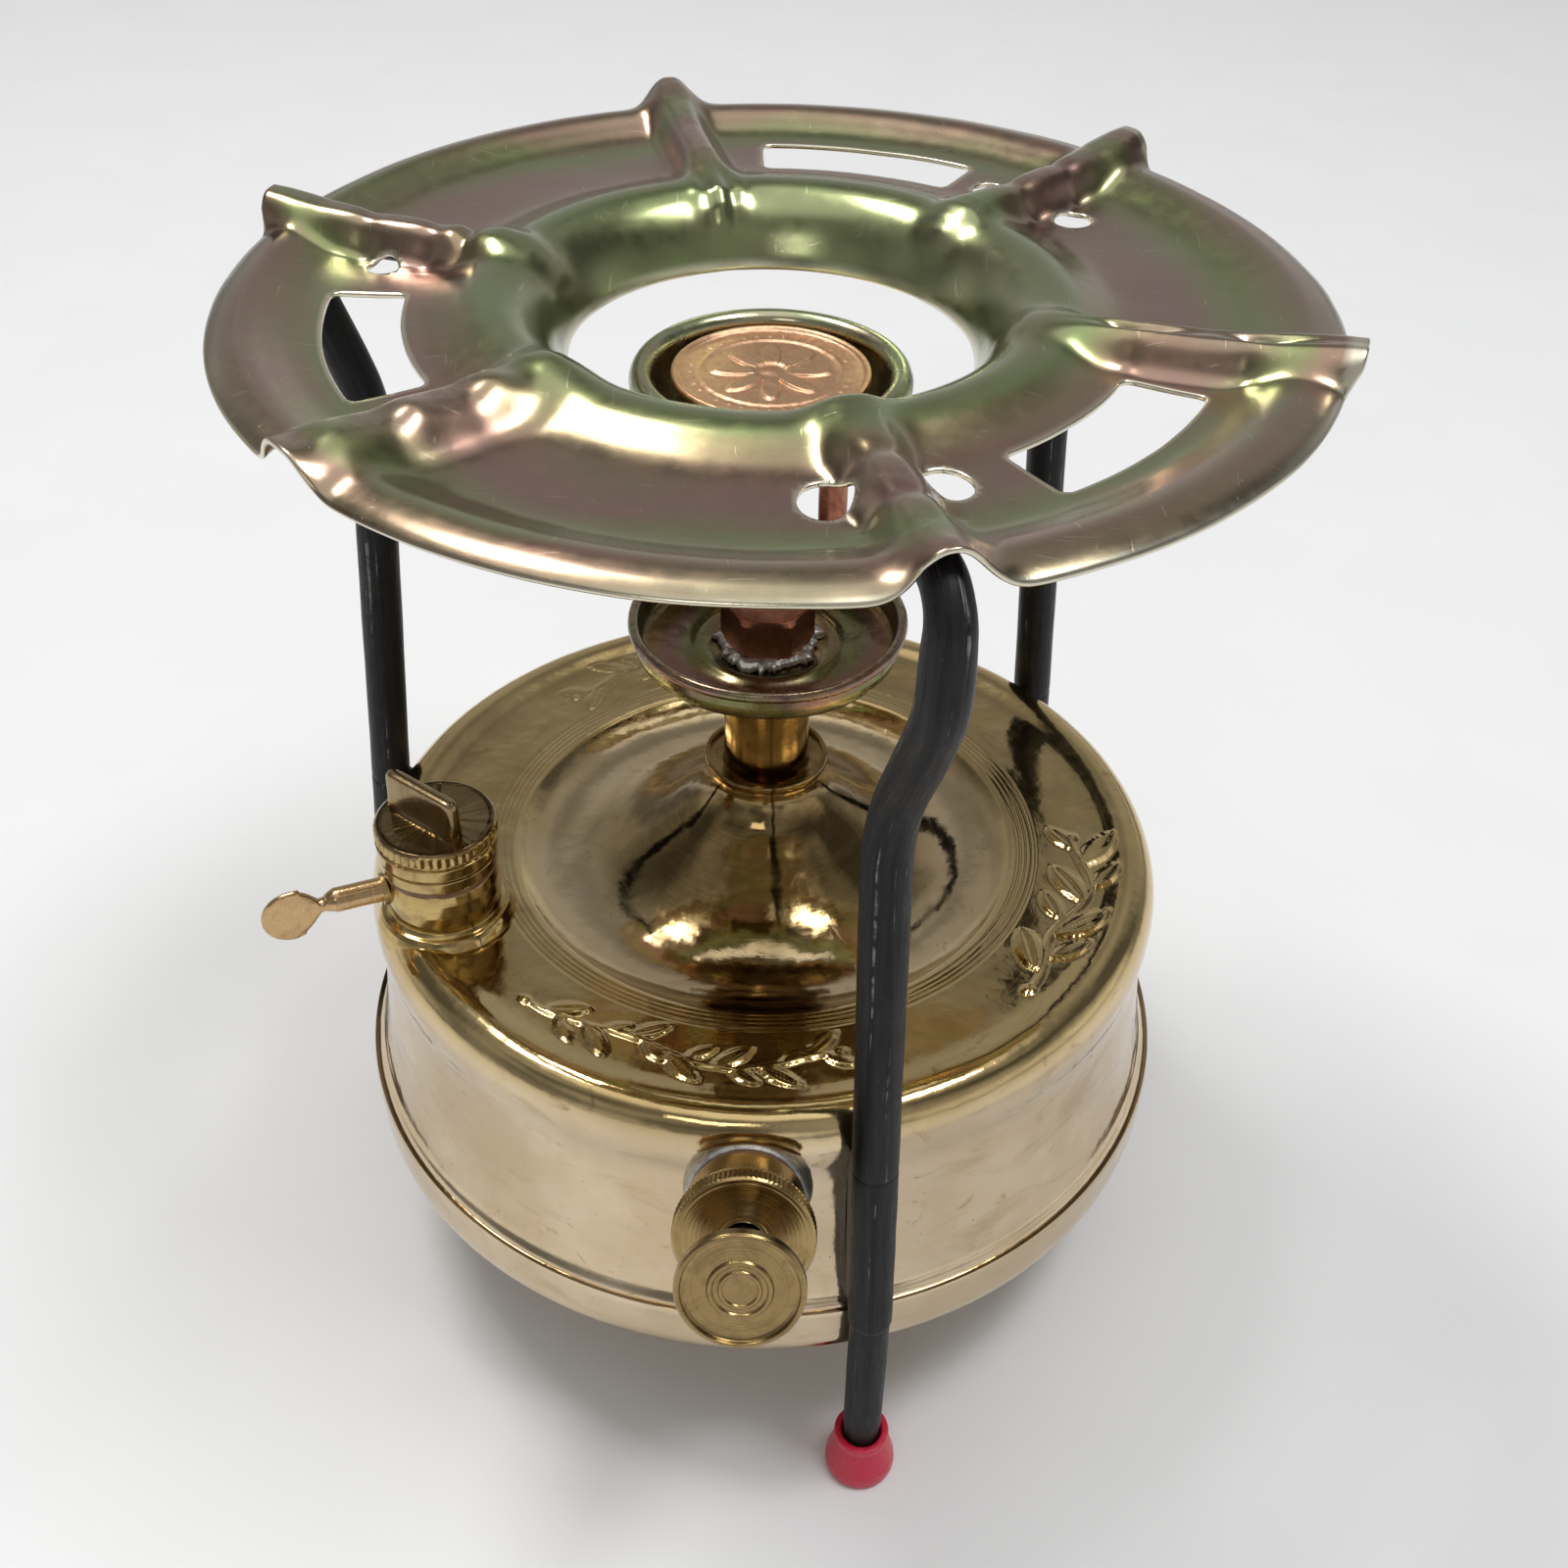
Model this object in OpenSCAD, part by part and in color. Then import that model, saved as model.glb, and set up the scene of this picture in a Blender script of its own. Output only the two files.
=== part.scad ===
// Brass kerosene pressure stove: fuel tank with hand pump, filler and air
// release screw, riser with spirit cup, roarer burner, and a pressed pot ring
// carried on three bent legs. Millimetres. +Z is up, z = 0 is the surface the
// foot caps stand on, and the z axis is the axis of the tank and burner.
// The pump knob points towards -Y.

/* [Tank] */
// Wall thickness of the drawn brass sheet
sheet_t = 0.8; // [0.6:0.1:1.0]

/* [Legs and pot ring] */
// Direction of the front leg, seen from above
leg_az = -76.5; // [-80:0.5:-70]
// Radius of the leg rod
leg_rod_r = 3.6; // [3.4:0.05:3.6]
// Distance of the leg feet from the stove's axis
foot_r = 88.6; // [88.6:0.1:90]
// Radius of a rubber foot cap
foot_cap_r = 7.0; // [6.4:0.1:7.2]
// Height of a rubber foot cap
foot_cap_h = 11.2; // [10.5:0.1:12]
// Sheet thickness of the pot ring
ring_t = 0.9; // [0.8:0.05:1.0]
// Half the angle that the widest window spans
window_half = 16.7; // [14:0.1:17.5]
// Inner radius of the windows
window_ri = 60.8; // [60:0.1:63]
// Outer radius of the windows
window_ro = 74.0; // [71:0.1:75]
// Radius of the small holes beside the leg ribs
rib_hole_r = 4.0; // [2:0.1:4.5]

/* [Pump] */
// Upward tilt of the pump above level
pump_tilt = 20; // [19:0.5:21]
// Direction that the pump points, seen from above
pump_az = -91.6; // [-93:0.1:-90]
// Outer radius of the pump barrel
barrel_r = 9.2; // [9.2:0.05:9.2]
// Bore radius of the pump barrel
barrel_bore_r = 8.6; // [8.5:0.05:8.6]
// Radius of the pump rod
rod_r = 2.6; // [2.2:0.1:2.8]
// Radius of the pump knob
knob_r = 10.9; // [9:0.1:11.5]
// Radius of the knurled pump cap
pump_cap_r = 12.4; // [11.8:0.1:12.6]

/* [Filler] */
// Distance of the filler from the stove's axis
filler_dist = 66.7; // [66:0.1:67]
// Direction of the filler, seen from above
filler_az = -158.4; // [-160:0.1:-157]
// Outer radius of the filler neck
neck_r = 11.0; // [10.8:0.1:11.2]
// Bore radius of the filler neck
neck_bore_r = 7.55; // [7.55:0.01:7.6]
// Radius of the filler cap
filler_cap_r = 11.6; // [11.3:0.1:12]
// Height of the air release screw's axis above the floor
air_z = 101.6; // [101.4:0.1:101.7]

/* [Burner] */
// Outer radius of the riser tube
riser_r = 8.4; // [8:0.1:8.6]
// Radius of the spirit cup's rim
cup_r = 26.3; // [25:0.1:27]
// Radius of the burner bell's rim
bell_r = 24.3; // [24.3:0.1:24.5]
// Radius of the spreader plate
spreader_r = 17.2; // [16:0.1:17.5]
// Radius of the burner's vapour tubes
vapour_tube_r = 2.6; // [2.2:0.1:2.6]

/* [Hidden] */
$fn = 96;

brass = [0.80, 0.64, 0.36];
old_brass = [0.66, 0.50, 0.26];
steel_dark = [0.10, 0.10, 0.11];
passivated = [0.50, 0.47, 0.28];
solder_grey = [0.62, 0.61, 0.58];
copper = [0.70, 0.42, 0.30];
red_rubber = [0.75, 0.06, 0.12];
leather_tan = [0.45, 0.28, 0.16];

// ---------------------------------------------------------------- helpers

// Unit normal to the left of a polyline at point i
function seg_dir(p, i) = let (a = p[max(i - 1, 0)], b = p[min(i + 1, len(p) - 1)], d = b - a)
    d / norm(d);
function offset_line(p, t) = [for (i = [0 : len(p) - 1]) let (d = seg_dir(p, i))
    p[i] + t * [-d[1], d[0]]];
function rev(p) = [for (i = [len(p) - 1 : -1 : 0]) p[i]];
// Sheet of thickness t to the left of a profile line
module sheet_profile(p, t) { polygon(concat(p, rev(offset_line(p, t)))); }

// Round bar through the points of a flat path, with a bend radius at each
// inner point. The path is in the (radius, height) plane at direction az.
function unit(v) = v / norm(v);
function turn(a, b) = acos(max(-1, min(1, a * b)));
function cut_len(p, b, i) = b[i] * tan(turn(unit(p[i] - p[i - 1]), unit(p[i + 1] - p[i])) / 2);
// Points along the path: the ends, and each bend as an arc in short steps
function arc_points(p, b, i, steps) = let (
        u = unit(p[i] - p[i - 1]), v = unit(p[i + 1] - p[i]),
        left = u[0] * v[1] - u[1] * v[0] > 0,
        s = p[i] - u * cut_len(p, b, i),
        nrm = left ? [-u[1], u[0]] : [u[1], -u[0]],
        cen = s + nrm * b[i], sweep = turn(u, v))
    [for (k = [0 : steps]) let (t = (left ? 1 : -1) * sweep * k / steps, w = s - cen)
        cen + [w[0] * cos(t) - w[1] * sin(t), w[0] * sin(t) + w[1] * cos(t)]];
function bar_points(p, b, steps) = concat([p[0]],
    [for (i = [1 : len(p) - 2]) each arc_points(p, b, i, steps)], [p[len(p) - 1]]);
module bar_path(p, b, r, az, sides = 20, steps = 6) {
    q = bar_points(p, b, steps);
    n = len(q);
    pts = [for (i = [0 : n - 1]) let (d = seg_dir(q, i), m = [-d[1], d[0]])
        for (k = [0 : sides - 1]) let (a = 360 * k / sides, c = r * cos(a))
            [q[i][0] + m[0] * c, r * sin(a), q[i][1] + m[1] * c]];
    faces = concat(
        [[for (k = [0 : sides - 1]) k]],
        [for (i = [0 : n - 2]) for (k = [0 : sides - 1])
            let (j = (k + 1) % sides) [i * sides + k, (i + 1) * sides + k, (i + 1) * sides + j, i * sides + j]],
        [[for (k = [sides - 1 : -1 : 0]) (n - 1) * sides + k]]);
    rotate([0, 0, az]) polyhedron(pts, faces, convexity = 6);
}

// Places a child, modelled along +Z, on the pump's axis. z = 0 is where the
// axis meets the tank wall, and +Z points out to the knob.
wall_point = [79.5, 77.5];
module on_pump() {
    rotate([0, 0, pump_az]) translate([wall_point[0], 0, wall_point[1]])
        rotate([0, 90 - pump_tilt, 0]) children();
}
module at_filler() {
    rotate([0, 0, filler_az]) translate([filler_dist, 0, 0]) children();
}
module ring3(az0) { for (k = [0 : 2]) rotate([0, 0, az0 + 120 * k]) children(); }

// ------------------------------------------------------------------- tank

// Outside of the drawn shell, from the skirt up over the shoulder bead to the
// centre hole
shell_line = [
    [83.9, 37.8], [84.0, 38.8], [84.0, 45.2], [83.9, 46.2], [83.2, 47.0], [82.6, 47.8], [82.3, 49.0],
    [81.9, 51.5], [81.2, 55.5], [80.6, 60.0], [80.0, 66.0], [79.5, 72.0], [79.3, 76.0], [79.3, 78.5],
    [79.5, 80.5], [79.9, 82.5], [80.2, 84.5], [80.3, 86.5], [80.1, 88.3], [79.6, 90.0], [78.7, 91.6],
    [77.5, 92.8], [76.1, 93.5], [74.6, 93.8], [73.0, 93.7], [71.4, 93.3], [69.8, 92.9], [68.0, 92.7],
    [61.0, 92.4], [56.6, 92.2], [51.6, 92.0], [50.6, 91.7], [49.6, 91.0], [48.0, 90.1], [45.6, 89.2],
    [42.5, 88.7], [39.5, 88.7], [36.0, 89.3], [32.5, 90.5], [28.5, 92.4], [24.5, 94.9], [21.0, 97.5],
    [17.8, 100.0], [15.2, 102.0], [13.0, 104.0], [11.5, 105.9], [10.5, 107.8], [10.05, 109.6], [9.95, 111.6]
];
// Outside of the bottom pan, from the middle of the dome out and up to the lap
pan_line = [
    [0, 38.6], [18, 38.4], [38, 37.6], [56, 36.2], [66, 34.8], [71.5, 33.4], [74.5, 32.2], [76.5, 31.6],
    [79.0, 31.5], [81.2, 31.9], [83.0, 33.0], [84.2, 34.6], [84.8, 36.6], [84.95, 39.0], [84.95, 43.6],
    [84.9, 44.6], [84.75, 45.3]
];
module tank_outside() {
    rotate_extrude() polygon(concat([[0, 38.6]], [[60, 38.6]], shell_line, [[0, 111.6]]));
}

module tank_shell() {
    color(brass) difference() {
        rotate_extrude() sheet_profile(shell_line, sheet_t);
        at_filler() translate([0, 0, 80]) cylinder(r = 9.05, h = 30);
        on_pump() translate([0, 0, -20]) cylinder(r = barrel_r + 0.05, h = 40);
    }
}
module tank_bottom() {
    color(brass) rotate_extrude() sheet_profile(pan_line, sheet_t);
}
// Threaded socket brazed into the top, with its thin collar
module centre_socket() {
    color(old_brass) difference() {
        union() {
            translate([0, 0, 98.5]) cylinder(r = 9, h = 13.4);
            translate([0, 0, 111.7]) cylinder(r1 = 11.4, r2 = 12.2, h = 0.6);
            translate([0, 0, 112.3]) cylinder(r = 12.2, h = 1.4);
        }
        translate([0, 0, 112.7]) cylinder(r = 11.1, h = 2);
        translate([0, 0, 105]) cylinder(r = 6.0, h = 9);
        translate([0, 0, 98]) cylinder(r = 3.52, h = 8);
    }
}
module dip_tube() {
    color(old_brass) translate([0, 0, 42.5]) difference() {
        cylinder(r = 3.5, h = 62.4);
        translate([0, 0, -1]) cylinder(r = 2.6, h = 65);
        translate([-5, -0.8, -1]) cube([10, 1.6, 4]);
    }
}

// ----------------------------------------------------------------- filler

module filler_neck() {
    color(old_brass) difference() {
        union() {
            difference() {
                at_filler() translate([0, 0, 88]) union() {
                    cylinder(r = 12.9, h = 6.4);
                    translate([0, 0, 6.4]) cylinder(r1 = 12.9, r2 = 12.3, h = 0.6);
                    cylinder(r = neck_r, h = 17);
                }
                tank_outside();
            }
            at_filler() translate([0, 0, 86.5]) cylinder(r = 9.0, h = 16);
        }
        at_filler() translate([0, 0, 80]) cylinder(r = neck_bore_r, h = 40);
        at_filler() translate([0, 0, air_z]) rotate([0, 90, 0]) cylinder(r = 2.45, h = 20);
    }
}
module filler_washer() {
    color(leather_tan) at_filler() translate([0, 0, 105.03]) difference() {
        cylinder(r = 10.8, h = 1.12);
        translate([0, 0, -1]) cylinder(r = 7.55, h = 4);
    }
}
module filler_cap() {
    color(old_brass) at_filler() difference() {
        union() {
            translate([0, 0, 102.2]) cylinder(r = 7.5, h = 4.2);
            translate([0, 0, 106.2]) cylinder(r = filler_cap_r - 0.25, h = 3.0);
            translate([0, 0, 109.0]) cylinder(r = filler_cap_r - 0.6, h = 0.8);
            translate([0, 0, 109.6]) cylinder(r = filler_cap_r, h = 2.8);
            translate([0, 0, 112.2]) cylinder(r = filler_cap_r - 0.5, h = 0.8);
            translate([0, 0, 112.8]) cylinder(r = filler_cap_r, h = 2.6);
            translate([0, 0, 115.4]) cylinder(r1 = filler_cap_r, r2 = filler_cap_r - 0.6, h = 0.6);
        }
        translate([0, 0, 101]) cylinder(r = 5.2, h = 5.4);
        rotate([0, 0, -filler_az - 36.5]) translate([-10.45, -2.55, 114.4]) cube([18.1, 2.7, 4]);
    }
}
// Upright grip bar brazed in a slot across the cap
module cap_grip() {
    color(old_brass) at_filler() rotate([0, 0, -filler_az - 36.5]) translate([-1.4, 0.1, 0])
        rotate([90, 0, 0]) linear_extrude(2.6)
            polygon([[-9.0, 114.4], [9.0, 114.4], [9.0, 122.6], [8.5, 123.3], [7.8, 123.5],
                     [-7.8, 123.5], [-8.5, 123.3], [-9.0, 122.6]]);
}
// Small boss on the neck that the air screw threads through
module air_boss() {
    color(old_brass) at_filler() difference() {
        translate([8.5, 0, air_z]) rotate([0, 90, 0]) cylinder(r = 3.2, h = 3.3);
        translate([0, 0, 90]) cylinder(r = neck_r, h = 30);
        translate([0, 0, air_z]) rotate([0, 90, 0]) cylinder(r = 2.45, h = 30);
    }
}
// Spindle with a cone seat at its inner end and a flattened thumb paddle
module air_screw() {
    color(brass) at_filler() translate([0, 0, air_z]) rotate([0, 90, 0]) union() {
        translate([0, 0, 7.8]) cylinder(r1 = 0.8, r2 = 2.4, h = 1.6);
        translate([0, 0, 9.4]) cylinder(r = 2.4, h = 11.6);
        translate([0, 0, 21.0]) cylinder(r1 = 2.4, r2 = 1.1, h = 1.2);
        translate([0, 0, 22.2]) cylinder(r = 1.1, h = 3.4);
        translate([1.4, 0.8, 28.9]) rotate([90, 0, 0]) cylinder(r = 5.7, h = 1.6);
    }
}

// ------------------------------------------------------------------- pump

module pump_barrel() {
    color(old_brass) on_pump() difference() {
        translate([0, 0, -60]) cylinder(r = barrel_r, h = 71.5);
        translate([0, 0, -57]) cylinder(r = barrel_bore_r, h = 70);
        translate([0, 0, -61]) cylinder(r = 4.5, h = 6);
    }
}
module pump_flange() {
    color(solder_grey) difference() {
        on_pump() translate([0, 0, -4]) union() {
            cylinder(r = 11.0, h = 8.4);
            translate([0, 0, 8.4]) cylinder(r1 = 11.0, r2 = 10.4, h = 0.6);
        }
        on_pump() translate([0, 0, -6]) cylinder(r = barrel_r + 0.02, h = 14);
        tank_outside();
    }
}
module pump_cap_washer() {
    color(leather_tan) on_pump() translate([0, 0, 5.03]) difference() {
        cylinder(r = 10.2, h = 1.12);
        translate([0, 0, -1]) cylinder(r = barrel_r + 0.1, h = 4);
    }
}
module pump_cap() {
    color(brass) on_pump() difference() {
        union() {
            translate([0, 0, 6.2]) cylinder(r = 10.7, h = 7.6);
            translate([0, 0, 13.6]) cylinder(r1 = pump_cap_r - 0.5, r2 = pump_cap_r, h = 0.5);
            translate([0, 0, 14.1]) cylinder(r = pump_cap_r, h = 2.7);
            translate([0, 0, 16.8]) cylinder(r1 = pump_cap_r, r2 = pump_cap_r - 0.6, h = 0.6);
        }
        translate([0, 0, 5]) cylinder(r = barrel_r + 0.06, h = 9.6);
        translate([0, 0, 13]) cylinder(r = 3.4, h = 6);
    }
}
module pump_rod() {
    color(steel_dark) on_pump() union() {
        translate([0, 0, -55.2]) cylinder(r = 1.6, h = 11);
        translate([0, 0, -44.8]) cylinder(r = rod_r, h = 70.3);
        translate([0, 0, 25.4]) cylinder(r = 1.8, h = 4);
    }
}
// Turned knob: hub, thin disc, raised lip and shallow centre boss
module pump_knob() {
    color(brass) on_pump() difference() {
        union() {
            translate([0, 0, 25.5]) cylinder(r1 = 3.6, r2 = 4.6, h = 4.4);
            translate([0, 0, 29.8]) cylinder(r1 = knob_r - 0.5, r2 = knob_r, h = 0.5);
            translate([0, 0, 30.3]) cylinder(r = knob_r, h = 1.5);
            translate([0, 0, 31.8]) cylinder(r1 = knob_r, r2 = knob_r - 0.4, h = 0.4);
        }
        translate([0, 0, 31.0]) difference() {
            cylinder(r = knob_r - 1.0, h = 3);
            translate([0, 0, -1]) cylinder(r = 5.4, h = 1.7);
        }
        translate([0, 0, 31.2]) cylinder(r = 3.6, h = 2);
        translate([0, 0, 24]) cylinder(r = 1.8, h = 5.4);
    }
}
module leather_plate() {
    color(brass) on_pump() translate([0, 0, -46.4]) difference() {
        cylinder(r = 6.8, h = 1.6);
        translate([0, 0, -1]) cylinder(r = 1.62, h = 4);
    }
}
// Cup leather, its open side towards the valve
module pump_leather() {
    color(leather_tan) on_pump() difference() {
        translate([0, 0, -54.0]) cylinder(r = barrel_bore_r - 0.05, h = 7.6);
        translate([0, 0, -55.0]) cylinder(r = barrel_bore_r - 1.35, h = 7.4);
        translate([0, 0, -56]) cylinder(r = 1.62, h = 12);
    }
}
module leather_nut() {
    color(brass) on_pump() translate([0, 0, -50.6]) difference() {
        cylinder(r = 4.6, h = 3.0, $fn = 6);
        translate([0, 0, -1]) cylinder(r = 1.62, h = 6);
    }
}
// Non-return valve screwed into the inner end of the barrel
module valve_body() {
    color(brass) on_pump() difference() {
        union() {
            translate([0, 0, -60.8]) cylinder(r = 4.45, h = 3.6);
            translate([0, 0, -67.6]) cylinder(r = 5.6, h = 6.0, $fn = 6);
            translate([0, 0, -61.6]) cylinder(r = 4.0, h = 1.2);
        }
        translate([0, 0, -66.6]) cylinder(r = 2.9, h = 8.4);
        translate([0, 0, -60]) cylinder(r = 1.2, h = 4);
        translate([0, 0, -65.2]) rotate([90, 0, 0]) cylinder(r = 0.9, h = 20, center = true);
    }
}
module valve_washer() {
    color(solder_grey) on_pump() translate([0, 0, -61.5]) difference() {
        cylinder(r = 7.0, h = 1.4);
        translate([0, 0, -1]) cylinder(r = 4.48, h = 4);
    }
}
module valve_plug() {
    color(leather_tan) on_pump() translate([0, 0, -60.7]) cylinder(r = 2.6, h = 2.4);
}
module valve_spring() {
    color(steel_dark) on_pump() for (z = [-66.2 : 1.7 : -61.0]) translate([0, 0, z])
        rotate_extrude() translate([1.9, 0]) circle(r = 0.3, $fn = 16);
}

// ----------------------------------------------------------------- burner

module riser_tube() {
    color(old_brass) difference() {
        union() {
            translate([0, 0, 105.4]) cylinder(r = 5.95, h = 8);
            translate([0, 0, 112.75]) cylinder(r = riser_r, h = 26.2);
        }
        translate([0, 0, 104]) cylinder(r = 3.98, h = 42);
    }
}
// Pressed cup that holds the priming spirit
cup_line = [
    [6.2, 139.0], [11.0, 139.0], [12.2, 139.5], [13.4, 139.5], [14.6, 139.0], [18.0, 138.9],
    [cup_r - 4.3, 138.9], [cup_r - 2.4, 139.4], [cup_r - 1.4, 140.6], [cup_r - 1.0, 142.2], [cup_r - 0.9, 145.4]
];
module spirit_cup() {
    color(passivated) union() {
        rotate_extrude() sheet_profile(cup_line, 0.8);
        translate([0, 0, 145.3]) rotate_extrude() translate([cup_r - 1.05, 0]) circle(r = 1.05, $fn = 32);
    }
}
module burner_washer() {
    color(solder_grey) translate([0, 0, 139.85]) difference() {
        cylinder(r = 9.2, h = 1.5);
        translate([0, 0, -1]) cylinder(r = 3.98, h = 4);
    }
}
module burner_base() {
    color(copper) difference() {
        union() {
            translate([0, 0, 131]) cylinder(r = 3.93, h = 12);
            translate([0, 0, 141.4]) cylinder(r = 8.9, h = 8.0, $fn = 6);
            translate([0, 0, 149.4]) cylinder(r1 = 7.4, r2 = 6.6, h = 3.6);
        }
        translate([0, 0, 130]) cylinder(r = 2.0, h = 20);
    }
}
// Two rising tubes to the burner head and two falling tubes to the jet block
module vapour_tubes() {
    color(copper) union() {
        for (a = [0, 180]) bar_path([[3.2, 151.0], [11.4, 158.6], [11.4, 180.2]], [0, 6, 0], vapour_tube_r, a, 16, 5);
        for (a = [90, 270]) bar_path([[3.4, 161.2], [11.4, 165.0], [11.4, 180.2]], [0, 3.4, 0], vapour_tube_r - 0.2, a, 16, 5);
    }
}
module jet_block() {
    color(copper) difference() {
        translate([0, 0, 155.6]) cylinder(r = 5.2, h = 9.6);
        translate([0, 0, 158]) cylinder(r = 2.2, h = 9);
    }
}
module jet_nipple() {
    color(brass) difference() {
        union() {
            translate([0, 0, 160]) cylinder(r = 2.15, h = 6);
            translate([0, 0, 165.25]) cylinder(r = 3.2, h = 2.6, $fn = 6);
            translate([0, 0, 167.8]) cylinder(r1 = 2.2, r2 = 1.2, h = 2.0);
        }
        translate([0, 0, 159]) cylinder(r = 1.0, h = 9);
        translate([0, 0, 159]) cylinder(r = 0.25, h = 12);
    }
}
// Hollow ring head that the flame heats
module burner_head() {
    color(copper) difference() {
        translate([0, 0, 180.2]) cylinder(r = 14.2, h = 7.0);
        translate([0, 0, 179]) cylinder(r = 7.6, h = 10);
        translate([0, 0, 181.4]) difference() {
            cylinder(r = 13.0, h = 4.6);
            translate([0, 0, -1]) cylinder(r = 8.8, h = 7);
        }
    }
}
// Flared bell round the head, with a rolled lip
bell_line = [
    [15.2, 180.8], [16.4, 182.4], [18.0, 185.4], [19.4, 188.8], [bell_r - 4.0, 192.2], [bell_r - 3.6, 194.6],
    [bell_r - 3.2, 195.8], [bell_r - 2.4, 196.5], [bell_r - 1.6, 196.4], [bell_r - 1.1, 195.7], [bell_r - 0.75, 194.6]
];
module burner_bell() {
    color(passivated) union() {
        rotate_extrude() sheet_profile(bell_line, 0.75);
        translate([0, 0, 180.6]) difference() {
            cylinder(r = 15.6, h = 1.4);
            translate([0, 0, -1]) cylinder(r = 14.25, h = 4);
        }
    }
}
// Round plate that spreads the flame, on three short feet
module spreader_plate() {
    color(copper) union() {
        translate([0, 0, 194.4]) cylinder(r1 = 16.6, r2 = spreader_r, h = 0.6);
        translate([0, 0, 195.0]) difference() {
            cylinder(r = spreader_r, h = 1.6);
            translate([0, 0, 0.9]) cylinder(r = spreader_r - 1.4, h = 2);
        }
        translate([0, 0, 195.2]) cylinder(r = 6.0, h = 1.1);
        ring3(30) translate([10.2, -1.7, 187.3]) cube([1.2, 3.4, 7.6]);
    }
}

// ------------------------------------------------------------------- legs

// Centre line of a leg in the (radius, height) plane: foot, lean in along the
// tank, bow out under the ring and hook in beneath a rib
leg_line = [[foot_r, 2.6], [foot_r, 46], [79.0, 162], [91.6, 190], [92.0, 209.9], [66, 209.9]];
leg_bends = [0, 60, 34, 22, 6.2, 0];
// The left leg is bent higher up, and in one sweep
left_line = [[foot_r, 2.6], [foot_r, 46], [78.0, 176], [91.8, 209.9], [66, 209.9]];
left_bends = [0, 60, 30, 6.2, 0];
module leg(az, line = leg_line, bends = leg_bends) {
    color(steel_dark) bar_path(line, bends, leg_rod_r, az);
}
module leg_front() { leg(leg_az); }
module leg_right() { leg(leg_az + 120); }
module leg_left() { leg(leg_az + 240, left_line, left_bends); }

// Half-round steel clips brazed to the tank wall round each leg
module leg_clips() {
    tilt = -4.73;
    color(steel_dark) ring3(leg_az) difference() {
        translate([foot_r - 0.12, 0, 47.5]) rotate([0, tilt, 0]) union() {
            cylinder(r = 4.35, h = 40);
            translate([-6.8, -2.6, 0]) cube([6.5, 5.2, 40]);
        }
        translate([foot_r, 0, 46]) rotate([0, tilt, 0]) translate([0, 0, -20]) cylinder(r = leg_rod_r + 0.1, h = 90);
        tank_clear();
    }
}
module tank_clear() {
    rotate_extrude() polygon(concat([[0, 30]], [[85.0, 30], [85.0, 46.4]],
        [for (p = shell_line) if (p[1] > 46.5 && p[0] > 70) p + [0.02, 0]], [[0, 94]]));
}

// Foot caps: soft rubber, closed below, with a small bead round the mouth
module foot_cap(az) {
    color(red_rubber) rotate([0, 0, az]) translate([foot_r, 0, 0]) difference() {
        union() {
            cylinder(r1 = foot_cap_r - 0.8, r2 = foot_cap_r, h = 0.8);
            translate([0, 0, 0.8]) cylinder(r = foot_cap_r, h = 2.2);
            translate([0, 0, 3.0]) cylinder(r1 = foot_cap_r, r2 = foot_cap_r - 1.8, h = 6.6);
            translate([0, 0, 9.6]) cylinder(r = foot_cap_r - 1.5, h = foot_cap_h - 9.6);
        }
        translate([0, 0, 2.55]) cylinder(r = leg_rod_r + 0.02, h = 20);
    }
}
module foot_cap_front() { foot_cap(leg_az); }
module foot_cap_right() { foot_cap(leg_az + 120); }
module foot_cap_left() { foot_cap(leg_az + 240); }

// --------------------------------------------------------------- pot ring

// Top of the pressed ring from the hole's edge to the outer edge
ring_line = [
    [93.5, 208.5], [92.9, 209.4], [92.0, 210.3], [90.8, 211.0], [89.2, 211.5], [87.0, 211.8], [84.6, 211.4], [81.6, 210.2],
    [78.6, 209.0], [75.6, 208.5], [60.0, 208.4], [56.6, 208.9], [53.0, 210.1], [49.8, 211.4], [47.0, 211.9],
    [44.4, 211.6], [41.8, 210.4], [39.4, 208.3], [37.4, 205.6], [35.8, 202.8], [34.6, 200.0]
];
// Cross-section of a rib, a rounded ridge
rib_half = [[7.4, 0], [6.2, 1.6], [4.9, 3.6], [3.7, 5.3], [2.6, 6.6], [1.4, 7.3]];
function rib_top(h, inset) = concat([[7.4 - inset, -20]],
    [for (q = rib_half) [q[0] - inset, q[1] * h / 7.6]], [[0, h]],
    [for (i = [len(rib_half) - 1 : -1 : 0]) [inset - rib_half[i][0], rib_half[i][1] * h / 7.6]],
    [[inset - 7.4, -20]]);
module rib_ridge() {
    translate([44.6, 0, 208.0]) rotate([90, 0, 90]) linear_extrude(51.0)
        intersection() { polygon(rib_top(8.4, 0)); translate([-10, 0]) square([20, 20]); }
}
module rib_tunnel() {
    translate([46.6, 0, 207.0]) rotate([90, 0, 90]) linear_extrude(60)
        polygon(rib_top(8.3, 1.0));
}
// Direction and angle of each window: back, left and right
windows = [[75.2, window_half], [194.7, window_half - 0.8], [-40.5, window_half - 1.2]];
module window_cut(az, half) {
    rotate([0, 0, az - half]) translate([0, 0, 200]) rotate_extrude(angle = 2 * half)
        translate([window_ri, 0]) square([window_ro - window_ri, 20]);
}
module pot_ring() {
    color(passivated) difference() {
        union() {
            rotate_extrude() sheet_profile(ring_line, ring_t);
            for (k = [0 : 5]) rotate([0, 0, leg_az + 60 * k]) rib_ridge();
        }
        for (k = [0 : 5]) rotate([0, 0, leg_az + 60 * k]) rib_tunnel();
        for (w = windows) window_cut(w[0], w[1]);
        ring3(leg_az) for (s = [-1, 1]) rotate([0, 0, 8.8 * s]) translate([65, 0, 195]) cylinder(r = rib_hole_r, h = 30);
    }
}

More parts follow.
